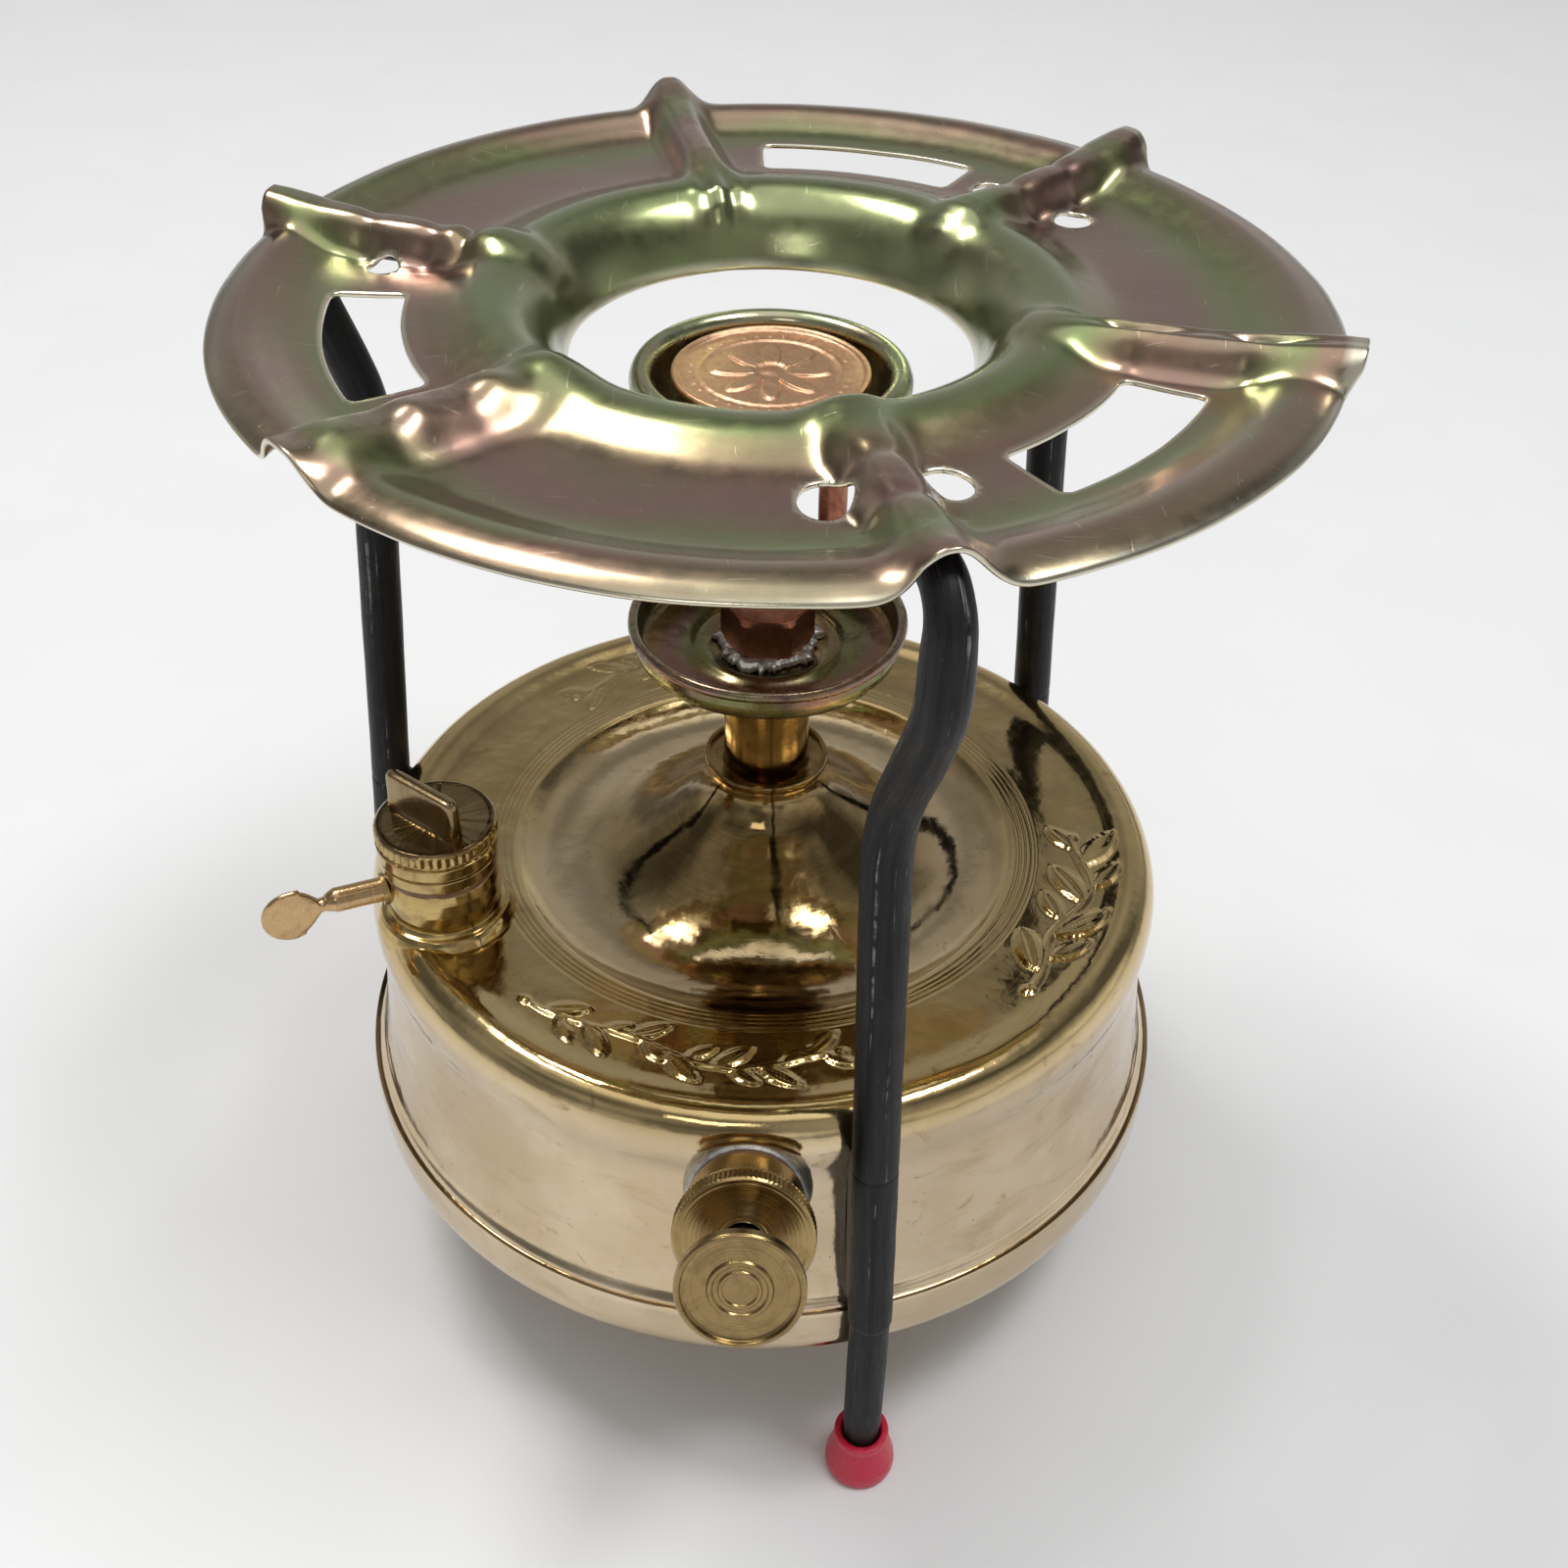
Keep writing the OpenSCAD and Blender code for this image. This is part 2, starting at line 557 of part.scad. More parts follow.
tank_shell();
tank_bottom();
centre_socket();
dip_tube();
filler_neck();
filler_washer();
filler_cap();
cap_grip();
air_boss();
air_screw();
pump_barrel();
pump_flange();
pump_cap_washer();
pump_cap();
pump_rod();
pump_knob();
leather_plate();
pump_leather();
leather_nut();
valve_body();
valve_washer();
valve_plug();
valve_spring();
riser_tube();
spirit_cup();
burner_washer();
burner_base();
vapour_tubes();
jet_block();
jet_nipple();
burner_head();
burner_bell();
spreader_plate();
leg_front();
leg_right();
leg_left();
leg_clips();
foot_cap_front();
foot_cap_right();
foot_cap_left();
pot_ring();
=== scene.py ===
# Looks of the brass kerosene pressure stove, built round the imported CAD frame.
import math

import bmesh
import bpy
import numpy as np
from mathutils import Matrix, Vector, noise


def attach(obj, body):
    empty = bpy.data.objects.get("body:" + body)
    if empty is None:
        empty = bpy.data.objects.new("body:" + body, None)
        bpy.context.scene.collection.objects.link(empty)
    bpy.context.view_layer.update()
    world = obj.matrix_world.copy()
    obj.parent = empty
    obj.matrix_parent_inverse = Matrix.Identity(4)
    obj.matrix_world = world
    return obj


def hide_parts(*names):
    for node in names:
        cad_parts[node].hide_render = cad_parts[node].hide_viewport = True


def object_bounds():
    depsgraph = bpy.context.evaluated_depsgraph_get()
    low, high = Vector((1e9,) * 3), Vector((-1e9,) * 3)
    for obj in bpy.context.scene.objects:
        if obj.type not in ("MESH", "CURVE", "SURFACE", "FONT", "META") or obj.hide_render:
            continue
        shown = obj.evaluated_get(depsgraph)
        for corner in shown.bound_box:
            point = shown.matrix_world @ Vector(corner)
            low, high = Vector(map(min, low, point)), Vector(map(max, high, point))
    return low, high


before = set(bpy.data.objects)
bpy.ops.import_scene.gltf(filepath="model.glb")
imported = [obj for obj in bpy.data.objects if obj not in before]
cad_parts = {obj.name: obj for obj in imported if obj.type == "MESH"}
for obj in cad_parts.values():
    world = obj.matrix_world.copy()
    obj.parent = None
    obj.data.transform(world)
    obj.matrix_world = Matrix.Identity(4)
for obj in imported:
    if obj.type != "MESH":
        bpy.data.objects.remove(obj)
CAD_BOX = [[float(c) for c in v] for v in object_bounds()]
scene = bpy.context.scene
MM = 0.001
D2R = math.pi / 180.0

# ------------------------------------------------------------------ placing


def rot(axis, deg):
    return np.array(Matrix.Rotation(deg * D2R, 4, axis))


def shift(x, y, z):
    m = np.eye(4)
    m[:3, 3] = (x, y, z)
    return m


PUMP = rot("Z", -91.6) @ shift(79.5, 0, 77.5) @ rot("Y", 70.0)
FILLER = rot("Z", -158.4) @ shift(66.7, 0, 0)
AIR = FILLER @ shift(0, 0, 101.6) @ rot("Y", 90.0)
LEG_AZ = {"front": -76.5, "right": 43.5, "left": 163.5}
FOOT_R = 88.6

# ---------------------------------------------------------------- noise maps


def hash3(p, q, r):
    n = (p * 374761393 + q * 668265263 + r * 2147483647 + 1013904223) & 0x7FFFFFFF
    n = (n ^ (n >> 13)) * 1274126177 & 0x7FFFFFFF
    n = (n ^ (n >> 16)) & 0x7FFFFFFF
    return n / float(0x7FFFFFFF) * 2.0 - 1.0


def vnoise(P):
    """Smooth value noise in -1..1 at the points P (N,3), one unit a cell."""
    P = np.asarray(P, float)
    I = np.floor(P).astype(np.int64)
    F = P - I
    F = F * F * F * (F * (F * 6 - 15) + 10)
    out = np.zeros(len(P))
    for dx in (0, 1):
        wx = F[:, 0] if dx else 1 - F[:, 0]
        for dy in (0, 1):
            wy = F[:, 1] if dy else 1 - F[:, 1]
            for dz in (0, 1):
                wz = F[:, 2] if dz else 1 - F[:, 2]
                out += wx * wy * wz * hash3(I[:, 0] + dx, I[:, 1] + dy, I[:, 2] + dz)
    return out


def fnoise(P, octaves=3):
    out, amp, tot = 0.0, 1.0, 0.0
    P = np.asarray(P, float)
    for k in range(octaves):
        out = out + amp * vnoise(P * 2.0 ** k + 17.3 * k)
        tot += amp
        amp *= 0.5
    return out / tot


def step(a, b, x):
    t = np.clip((x - a) / (b - a), 0, 1)
    return t * t * (3 - 2 * t)


# ---------------------------------------------------------------- materials


class Mat:
    """A node material. P is the place on the piece in millimetres."""

    def __init__(self, name, src="attr", metallic=0.0, rough=0.5, **sockets):
        self.m = bpy.data.materials.new(name)
        self.m.use_nodes = True
        self.t = self.m.node_tree
        self.t.nodes.clear()
        self.out = self.t.nodes.new("ShaderNodeOutputMaterial")
        self.b = self.t.nodes.new("ShaderNodeBsdfPrincipled")
        self.t.links.new(self.b.outputs[0], self.out.inputs[0])
        self.b.inputs["Metallic"].default_value = metallic
        self.b.inputs["Roughness"].default_value = rough
        for k, v in sockets.items():
            self.b.inputs[k.replace("_", " ")].default_value = v
        if src == "attr":
            a = self.t.nodes.new("ShaderNodeAttribute")
            a.attribute_name = "loc"
            self.P = a.outputs["Vector"]
        else:
            a = self.t.nodes.new("ShaderNodeTexCoord")
            s = self.t.nodes.new("ShaderNodeVectorMath")
            s.operation = "SCALE"
            s.inputs["Scale"].default_value = 1000.0
            self.t.links.new(a.outputs["Object"], s.inputs[0])
            self.P = s.outputs[0]

    def put(self, node_in, value):
        if hasattr(value, "is_output"):
            self.t.links.new(value, node_in)
        else:
            if node_in.type == "RGBA" and len(value) == 3:
                value = (*value, 1.0)
            node_in.default_value = value

    def scaled(self, sx, sy, sz, vec=None):
        n = self.t.nodes.new("ShaderNodeVectorMath")
        n.operation = "MULTIPLY"
        self.t.links.new(vec or self.P, n.inputs[0])
        n.inputs[1].default_value = (sx, sy, sz)
        return n.outputs[0]

    def noise(self, scale, detail=3.0, rough=0.5, vec=None, dist=0.0):
        n = self.t.nodes.new("ShaderNodeTexNoise")
        n.inputs["Scale"].default_value = scale
        n.inputs["Detail"].default_value = detail
        n.inputs["Roughness"].default_value = rough
        n.inputs["Distortion"].default_value = dist
        self.t.links.new(vec or self.P, n.inputs["Vector"])
        return n.outputs[0]

    def vor(self, scale, vec=None, feature="F1", rnd=1.0):
        n = self.t.nodes.new("ShaderNodeTexVoronoi")
        n.feature = feature
        n.inputs["Scale"].default_value = scale
        n.inputs["Randomness"].default_value = rnd
        self.t.links.new(vec or self.P, n.inputs["Vector"])
        return n.outputs["Distance"]

    def attr(self, name):
        a = self.t.nodes.new("ShaderNodeAttribute")
        a.attribute_name = name
        return a.outputs["Fac"]

    def math(self, op, a, b=0.0, c=None):
        n = self.t.nodes.new("ShaderNodeMath")
        n.operation = op
        self.put(n.inputs[0], a)
        self.put(n.inputs[1], b)
        if c is not None:
            self.put(n.inputs[2], c)
        return n.outputs[0]

    def ran(self, v, a, b, c=0.0, d=1.0):
        n = self.t.nodes.new("ShaderNodeMapRange")
        n.interpolation_type = "SMOOTHSTEP"
        self.t.links.new(v, n.inputs[0])
        for i, x in enumerate((a, b, c, d)):
            n.inputs[i + 1].default_value = x
        return n.outputs[0]

    def mix(self, fac, a, b, mode="MIX"):
        n = self.t.nodes.new("ShaderNodeMix")
        n.data_type = "RGBA"
        n.blend_type = mode
        self.put(n.inputs[0], fac)
        self.put(n.inputs[6], a)
        self.put(n.inputs[7], b)
        return n.outputs[2]

    def ramp(self, v, stops):
        n = self.t.nodes.new("ShaderNodeValToRGB")
        e = n.color_ramp.elements
        while len(e) < len(stops):
            e.new(0.5)
        for k, (p, c) in enumerate(stops):
            e[k].position = p
            e[k].color = (*c, 1.0)
        self.t.links.new(v, n.inputs[0])
        return n.outputs[0]

    def xyz(self, vec=None):
        n = self.t.nodes.new("ShaderNodeSeparateXYZ")
        self.t.links.new(vec or self.P, n.inputs[0])
        return n.outputs[0], n.outputs[1], n.outputs[2]

    def radius(self):
        x, y, _ = self.xyz()
        return self.math("SQRT", self.math("ADD", self.math("MULTIPLY", x, x), self.math("MULTIPLY", y, y)))

    def vec(self, x, y, z):
        n = self.t.nodes.new("ShaderNodeCombineXYZ")
        for i, v in enumerate((x, y, z)):
            self.put(n.inputs[i], v)
        return n.outputs[0]

    def turned(self, scale=2.2, detail=4.0):
        """Lathe marks: noise that changes only with radius and height."""
        _, _, z = self.xyz()
        v = self.vec(self.math("MULTIPLY", self.radius(), scale), 0.0, self.math("MULTIPLY", z, scale))
        return self.noise(1.0, detail, 0.6, v)

    def bump(self, h, strength, dist, under=None):
        n = self.t.nodes.new("ShaderNodeBump")
        n.inputs["Strength"].default_value = strength
        n.inputs["Distance"].default_value = dist
        self.t.links.new(h, n.inputs["Height"])
        if under is not None:
            self.t.links.new(under, n.inputs["Normal"])
        self.t.links.new(n.outputs[0], self.b.inputs["Normal"])
        return n.outputs[0]

    def set(self, **kw):
        for k, v in kw.items():
            self.put(self.b.inputs[k.replace("_", " ")], v)
        return self.m


def mat_tank(name):
    m = Mat(name, metallic=1.0)
    _, _, z = m.xyz()
    big = m.noise(0.035, 3.0, 0.55)
    cloud = m.noise(0.12, 5.0, 0.6, dist=1.5)
    spots = m.ran(m.noise(0.09, 6.0, 0.68, m.scaled(1, 1, 1.4), 2.2), 0.60, 0.72)
    flecks = m.ran(m.vor(0.33), 0.10, 0.02)
    flecks = m.math("MULTIPLY", flecks, m.ran(m.noise(0.06, 2.0), 0.50, 0.62))
    stain = m.math("MAXIMUM", m.math("MULTIPLY", spots, 0.55), m.math("MULTIPLY", flecks, 0.8))
    x, y, z = m.xyz()
    ang = m.math("ARCTAN2", y, x)
    # polishing lines run round the tank
    line_v = m.vec(m.math("MULTIPLY", m.radius(), 3.0), m.math("MULTIPLY", ang, 1.2), m.math("MULTIPLY", z, 3.0))
    lines = m.noise(1.0, 4.0, 0.65, line_v)
    wall = m.mix(m.ran(big, 0.35, 0.65), (0.600, 0.470, 0.315), (0.715, 0.585, 0.420))
    top = m.mix(m.ran(big, 0.35, 0.65), (0.560, 0.412, 0.185), (0.660, 0.502, 0.240))
    smear_v = m.vec(m.math("MULTIPLY", m.math("ARCTAN2", m.xyz()[1], m.xyz()[0]), 2.6), m.math("MULTIPLY", z, 0.11), m.math("MULTIPLY", m.radius(), 0.09))
    smear = m.ran(m.noise(1.0, 5.0, 0.62, smear_v, 1.2), 0.52, 0.74)
    col = m.mix(m.ran(z, 86.0, 93.0), wall, top)
    # painted shade: the tank top round the riser is darkened to stand in for dark reflections of the ring and legs
    # above
    cone_shade = m.math("MULTIPLY", m.ran(m.radius(), 40.0, 24.0), m.ran(z, 80.0, 86.0))
    col = m.mix(m.math("MULTIPLY", cone_shade, 0.88), col, (0.170, 0.108, 0.040))
    col = m.mix(m.math("MULTIPLY", smear, 0.45), col, (0.360, 0.250, 0.130))
    col = m.mix(m.ran(cloud, 0.45, 0.75, 0.0, 0.30), col, (0.560, 0.400, 0.190))
    col = m.mix(m.math("MULTIPLY", m.ran(lines, 0.3, 0.7), 0.16), col, (0.62, 0.45, 0.22))
    col = m.mix(stain, col, (0.270, 0.160, 0.070))
    rough = m.math("ADD", m.ran(cloud, 0.3, 0.8, 0.055, 0.16), m.math("MULTIPLY", stain, 0.26))
    rough = m.math("ADD", rough, m.math("MULTIPLY", m.ran(lines, 0.45, 0.75), 0.05))
    b = m.bump(lines, 0.05, 0.00012)
    b = m.bump(m.noise(0.11, 2.0, 0.5), 0.22, 0.0010, b)
    m.bump(m.noise(0.9, 2.0, 0.5), 0.05, 0.0003, b)
    return m.set(Base_Color=col, Roughness=rough)


def mat_brass(name, light, dark, rough=(0.20, 0.36), tarnish=0.6, turned=0.18, src="attr", grain=0.05, pits=0.0, crown=None):
    m = Mat(name, src=src, metallic=1.0)
    t = m.turned(2.6, 4.0)
    cloud = m.noise(0.22, 5.0, 0.62, dist=1.0)
    fine = m.noise(1.9, 4.0, 0.6)
    col = m.mix(m.ran(t, 0.3, 0.7), light, tuple(c * 0.78 for c in light))
    col = m.mix(m.ran(cloud, 0.42, 0.70, 0.0, tarnish), col, dark)
    col = m.mix(m.ran(fine, 0.60, 0.80, 0.0, 0.16 * tarnish), col, tuple(c * 0.6 for c in dark))
    if crown:  # darker brown face above a height
        col = m.mix(m.math("MULTIPLY", m.ran(m.xyz()[2], crown[0], crown[0] + 0.5), 0.85), col, crown[1])
    r = m.math("ADD", m.ran(cloud, 0.3, 0.75, rough[0], rough[1]), m.math("MULTIPLY", m.ran(fine, 0.4, 0.8), 0.04))
    b = m.bump(t, turned, 0.00016)
    b = m.bump(fine, grain, 0.00016, b)
    if pits:
        b = m.bump(m.ran(m.vor(1.1), 0.05, 0.45), pits, 0.0002, b)
    return m.set(Base_Color=col, Roughness=r)


def mat_ring(name, tint=0.0):
    """Yellow passivated steel: olive, green and rose zones that follow the
    pressed rings, satin grain, fine scratches, and a painted highlight on the cut edges and rim."""
    m = Mat(name, metallic=1.0, Coat_Weight=0.55, Coat_Roughness=0.20, Coat_IOR=1.8)
    x, y, z = m.xyz()
    warp = m.math("SUBTRACT", m.noise(0.020, 2.0, 0.5), 0.5)
    q = m.math("ADD", m.radius(), m.math("MULTIPLY", warp, 22.0 + tint))
    q = m.math("ADD", q, m.math("MULTIPLY", m.math("SUBTRACT", z, 209.0), -0.9))
    q = m.math("DIVIDE", m.math("SUBTRACT", q, 30.0), 66.0)
    fine_band = m.math("MULTIPLY", m.math("SUBTRACT", m.noise(1.0, 3.0, 0.6, m.vec(m.math("MULTIPLY", m.radius(), 0.55), m.math("MULTIPLY", z, 0.3), 0.0)), 0.5), 0.10)
    q = m.math("ADD", q, fine_band)
    col = m.ramp(q, [(0.0, (0.380, 0.360, 0.210)), (0.12, (0.300, 0.325, 0.150)), (0.24, (0.235, 0.310, 0.105)),
                     (0.33, (0.330, 0.265, 0.125)), (0.46, (0.340, 0.195, 0.140)), (0.60, (0.330, 0.180, 0.145)),
                     (0.73, (0.245, 0.300, 0.100)), (0.82, (0.350, 0.205, 0.145)), (0.89, (0.330, 0.240, 0.150)),
                     (1.0, (0.430, 0.385, 0.225))])
    slow = m.noise(0.05, 3.0, 0.5, m.scaled(1, 1, 2))
    col = m.mix(m.ran(slow, 0.35, 0.70, 0.0, 0.45), col, (0.250, 0.225, 0.110))
    grainy = m.noise(1.6, 5.0, 0.65)
    col = m.mix(m.ran(grainy, 0.40, 0.75, 0.0, 0.14), col, (0.20, 0.17, 0.10))
    speck = m.ran(m.noise(0.8, 6.0, 0.75), 0.66, 0.74)
    zone = m.ran(m.noise(0.05, 2.0, 0.5), 0.50, 0.66)
    speck = m.math("MULTIPLY", speck, m.math("MAXIMUM", m.math("MULTIPLY", zone, 0.35), m.math("MULTIPLY", m.attr("rim"), 0.7)))
    col = m.mix(speck, col, (0.78, 0.74, 0.60))
    scr = m.ran(m.noise(0.16, 1.0, 0.4, m.scaled(1.0, 11.0, 1.0), 0.4), 0.735, 0.76)
    scr2 = m.ran(m.noise(0.13, 1.0, 0.4, m.scaled(9.0, 1.2, 1.0), 0.5), 0.745, 0.77)
    scr = m.math("MULTIPLY", m.math("MAXIMUM", scr, scr2), 0.28)
    col = m.mix(scr, col, (0.66, 0.58, 0.45))
    wear = m.attr("wear")
    worn = m.math("MULTIPLY", wear, m.ran(m.noise(0.5, 4.0, 0.6), 0.35, 0.65, 0.0, 0.35))
    col = m.mix(worn, col, (0.66, 0.60, 0.46))
    # painted highlight: pale colour on the cut edges, outer rim and hole edge stands in for light caught by the
    # rounded edges
    edge = m.attr("edge")
    col = m.mix(m.math("MULTIPLY", edge, 0.85), col, (0.78, 0.72, 0.56))
    rough = m.math("ADD", m.ran(m.noise(0.3, 4.0, 0.6), 0.3, 0.7, 0.19, 0.27), m.math("MULTIPLY", speck, 0.15))
    b = m.bump(grainy, 0.05, 0.00012)
    b = m.bump(m.noise(5.0, 2.0, 0.5), 0.10, 0.00006, b)
    b = m.bump(speck, 0.35, 0.00012, b)
    m.bump(scr, 0.2, 0.00008, b)
    return m.set(Base_Color=col, Roughness=rough)


def mat_cup(name, base=(0.30, 0.24, 0.13)):
    m = Mat(name, metallic=1.0)
    x, y, z = m.xyz()
    film = m.math("ADD", m.math("MULTIPLY", m.radius(), 0.075), m.math("MULTIPLY", m.noise(0.035, 1.0), 1.4))
    film = m.math("FRACT", m.math("ADD", film, m.math("MULTIPLY", z, 0.06)))
    r, g, b_ = base
    col = m.ramp(film, [(0.0, (r, g, b_)), (0.25, (r * 0.80, g * 1.12, b_ * 0.95)), (0.5, (r * 1.08, g * 0.80, b_ * 1.30)),
                        (0.75, (r * 1.1, g * 0.95, b_ * 0.8)), (1.0, (r, g, b_))])
    soot = m.noise(0.18, 5.0, 0.65, dist=1.0)
    col = m.mix(m.ran(soot, 0.48, 0.75, 0.0, 0.55), col, (0.070, 0.052, 0.038))
    worn = m.math("MULTIPLY", m.attr("wear"), m.ran(m.noise(0.6, 4.0), 0.3, 0.6))
    col = m.mix(m.math("MULTIPLY", worn, 0.40), col, (0.56, 0.49, 0.38))
    rough = m.ran(soot, 0.3, 0.75, 0.15, 0.34)
    b = m.bump(m.turned(1.6), 0.08, 0.0002)
    m.bump(m.noise(1.6, 4.0, 0.6), 0.05, 0.0002, b)
    return m.set(Base_Color=col, Roughness=rough)


def mat_leg(name):
    """Blue-black mill scale, rolled lengthwise."""
    m = Mat(name, metallic=0.20, Specular_IOR_Level=0.24)
    long_ = m.noise(1.0, 4.0, 0.6, m.scaled(0.9, 0.9, 0.035))
    fine = m.noise(1.0, 4.0, 0.65, m.scaled(2.4, 2.4, 0.22))
    patch = m.noise(0.07, 4.0, 0.6)
    chips = m.ran(m.noise(0.9, 5.0, 0.7), 0.66, 0.72)
    col = m.mix(m.ran(long_, 0.3, 0.7), (0.006, 0.006, 0.007), (0.020, 0.020, 0.022))
    col = m.mix(m.ran(patch, 0.55, 0.75, 0.0, 0.35), col, (0.045, 0.036, 0.028))
    worn = m.ran(m.noise(1.0, 3.0, 0.55, m.scaled(1.1, 1.1, 0.020)), 0.62, 0.70)
    worn = m.math("MULTIPLY", worn, m.ran(m.noise(0.35, 4.0, 0.6), 0.42, 0.62))
    col = m.mix(m.math("MULTIPLY", worn, 0.45), col, (0.42, 0.41, 0.39))
    col = m.mix(m.math("MULTIPLY", chips, 0.18), col, (0.20, 0.19, 0.18))
    rough = m.math("ADD", m.ran(fine, 0.3, 0.7, 0.38, 0.56), m.math("MULTIPLY", chips, 0.12))
    b = m.bump(long_, 0.30, 0.0004)
    b = m.bump(fine, 0.22, 0.00025, b)
    m.bump(chips, 0.15, 0.0001, b)
    return m.set(Base_Color=col, Roughness=rough)


def mat_copper(name, light, dark, rough=(0.28, 0.48), soot=0.7, src="attr", grain=0.3):
    m = Mat(name, src=src, metallic=1.0)
    cloud = m.noise(0.25, 5.0, 0.62, dist=1.3)
    fine = m.noise(1.5, 5.0, 0.65)
    col = m.mix(m.ran(cloud, 0.35, 0.70, 0.0, soot), light, dark)
    col = m.mix(m.ran(fine, 0.50, 0.72, 0.0, 0.45), col, tuple(c * 0.45 for c in light))
    r = m.math("ADD", m.ran(cloud, 0.3, 0.7, rough[0], rough[1]), m.math("MULTIPLY", fine, 0.08))
    b = m.bump(fine, grain, 0.0003)
    m.bump(m.noise(4.0, 2.0), 0.15, 0.0001, b)
    return m.set(Base_Color=col, Roughness=r)


def mat_solder(name, src="attr"):
    m = Mat(name, src=src, metallic=0.9)
    cloud = m.noise(0.35, 5.0, 0.6, dist=0.8)
    fine = m.noise(2.2, 5.0, 0.65)
    col = m.mix(m.ran(cloud, 0.35, 0.7), (0.56, 0.555, 0.53), (0.33, 0.31, 0.27))
    col = m.mix(m.ran(fine, 0.52, 0.72, 0.0, 0.5), col, (0.76, 0.75, 0.73))
    r = m.ran(fine, 0.3, 0.75, 0.26, 0.50)
    b = m.bump(cloud, 0.35, 0.0007)
    m.bump(fine, 0.35, 0.0003, b)
    return m.set(Base_Color=col, Roughness=r)


def mat_rubber(name):
    m = Mat(name, metallic=0.0, Coat_Weight=0.25, Coat_Roughness=0.22, Specular_IOR_Level=0.5)
    fine = m.noise(1.6, 5.0, 0.62)
    dust = m.noise(0.4, 5.0, 0.65)
    _, _, z = m.xyz()
    col = m.mix(m.ran(fine, 0.3, 0.7), (0.520, 0.006, 0.034), (0.640, 0.014, 0.052))
    col = m.mix(m.ran(dust, 0.56, 0.80, 0.0, 0.22), col, (0.50, 0.20, 0.20))
    scuff = m.math("MULTIPLY", m.ran(z, 1.6, 0.0), m.ran(m.noise(0.9, 4.0, 0.6), 0.4, 0.7))
    col = m.mix(m.math("MULTIPLY", scuff, 0.5), col, (0.20, 0.02, 0.03))
    r = m.ran(dust, 0.3, 0.75, 0.30, 0.48)
    b = m.bump(fine, 0.12, 0.0002)
    m.bump(m.noise(6.0, 2.0), 0.12, 0.00006, b)
    return m.set(Base_Color=col, Roughness=r)


def mat_leather(name, src="obj"):
    m = Mat(name, src=src, metallic=0.0)
    cell = m.vor(1.8)
    n = m.noise(0.5, 5.0, 0.6)
    col = m.mix(m.ran(n, 0.3, 0.7), (0.16, 0.075, 0.030), (0.30, 0.165, 0.080))
    col = m.mix(m.ran(cell, 0.0, 0.3, 0.4, 0.0), col, (0.05, 0.025, 0.012))
    r = m.ran(n, 0.3, 0.7, 0.45, 0.70)
    b = m.bump(m.ran(cell, 0.0, 0.35), 0.5, 0.0002)
    m.bump(m.noise(3.0, 4.0), 0.3, 0.0001, b)
    return m.set(Base_Color=col, Roughness=r)


def mat_steel(name, src="obj"):
    m = Mat(name, src=src, metallic=1.0)
    n = m.noise(1.2, 5.0, 0.6)
    c = m.noise(0.15, 4.0, 0.6)
    col = m.mix(m.ran(n, 0.3, 0.7), (0.46, 0.45, 0.43), (0.58, 0.57, 0.55))
    col = m.mix(m.ran(c, 0.55, 0.75, 0.0, 0.5), col, (0.22, 0.15, 0.09))
    r = m.ran(n, 0.3, 0.7, 0.20, 0.34)
    b = m.bump(m.noise(1.0, 4.0, 0.6, m.scaled(6, 6, 0.6)), 0.15, 0.0001)
    m.bump(n, 0.1, 0.0001, b)
    return m.set(Base_Color=col, Roughness=r)


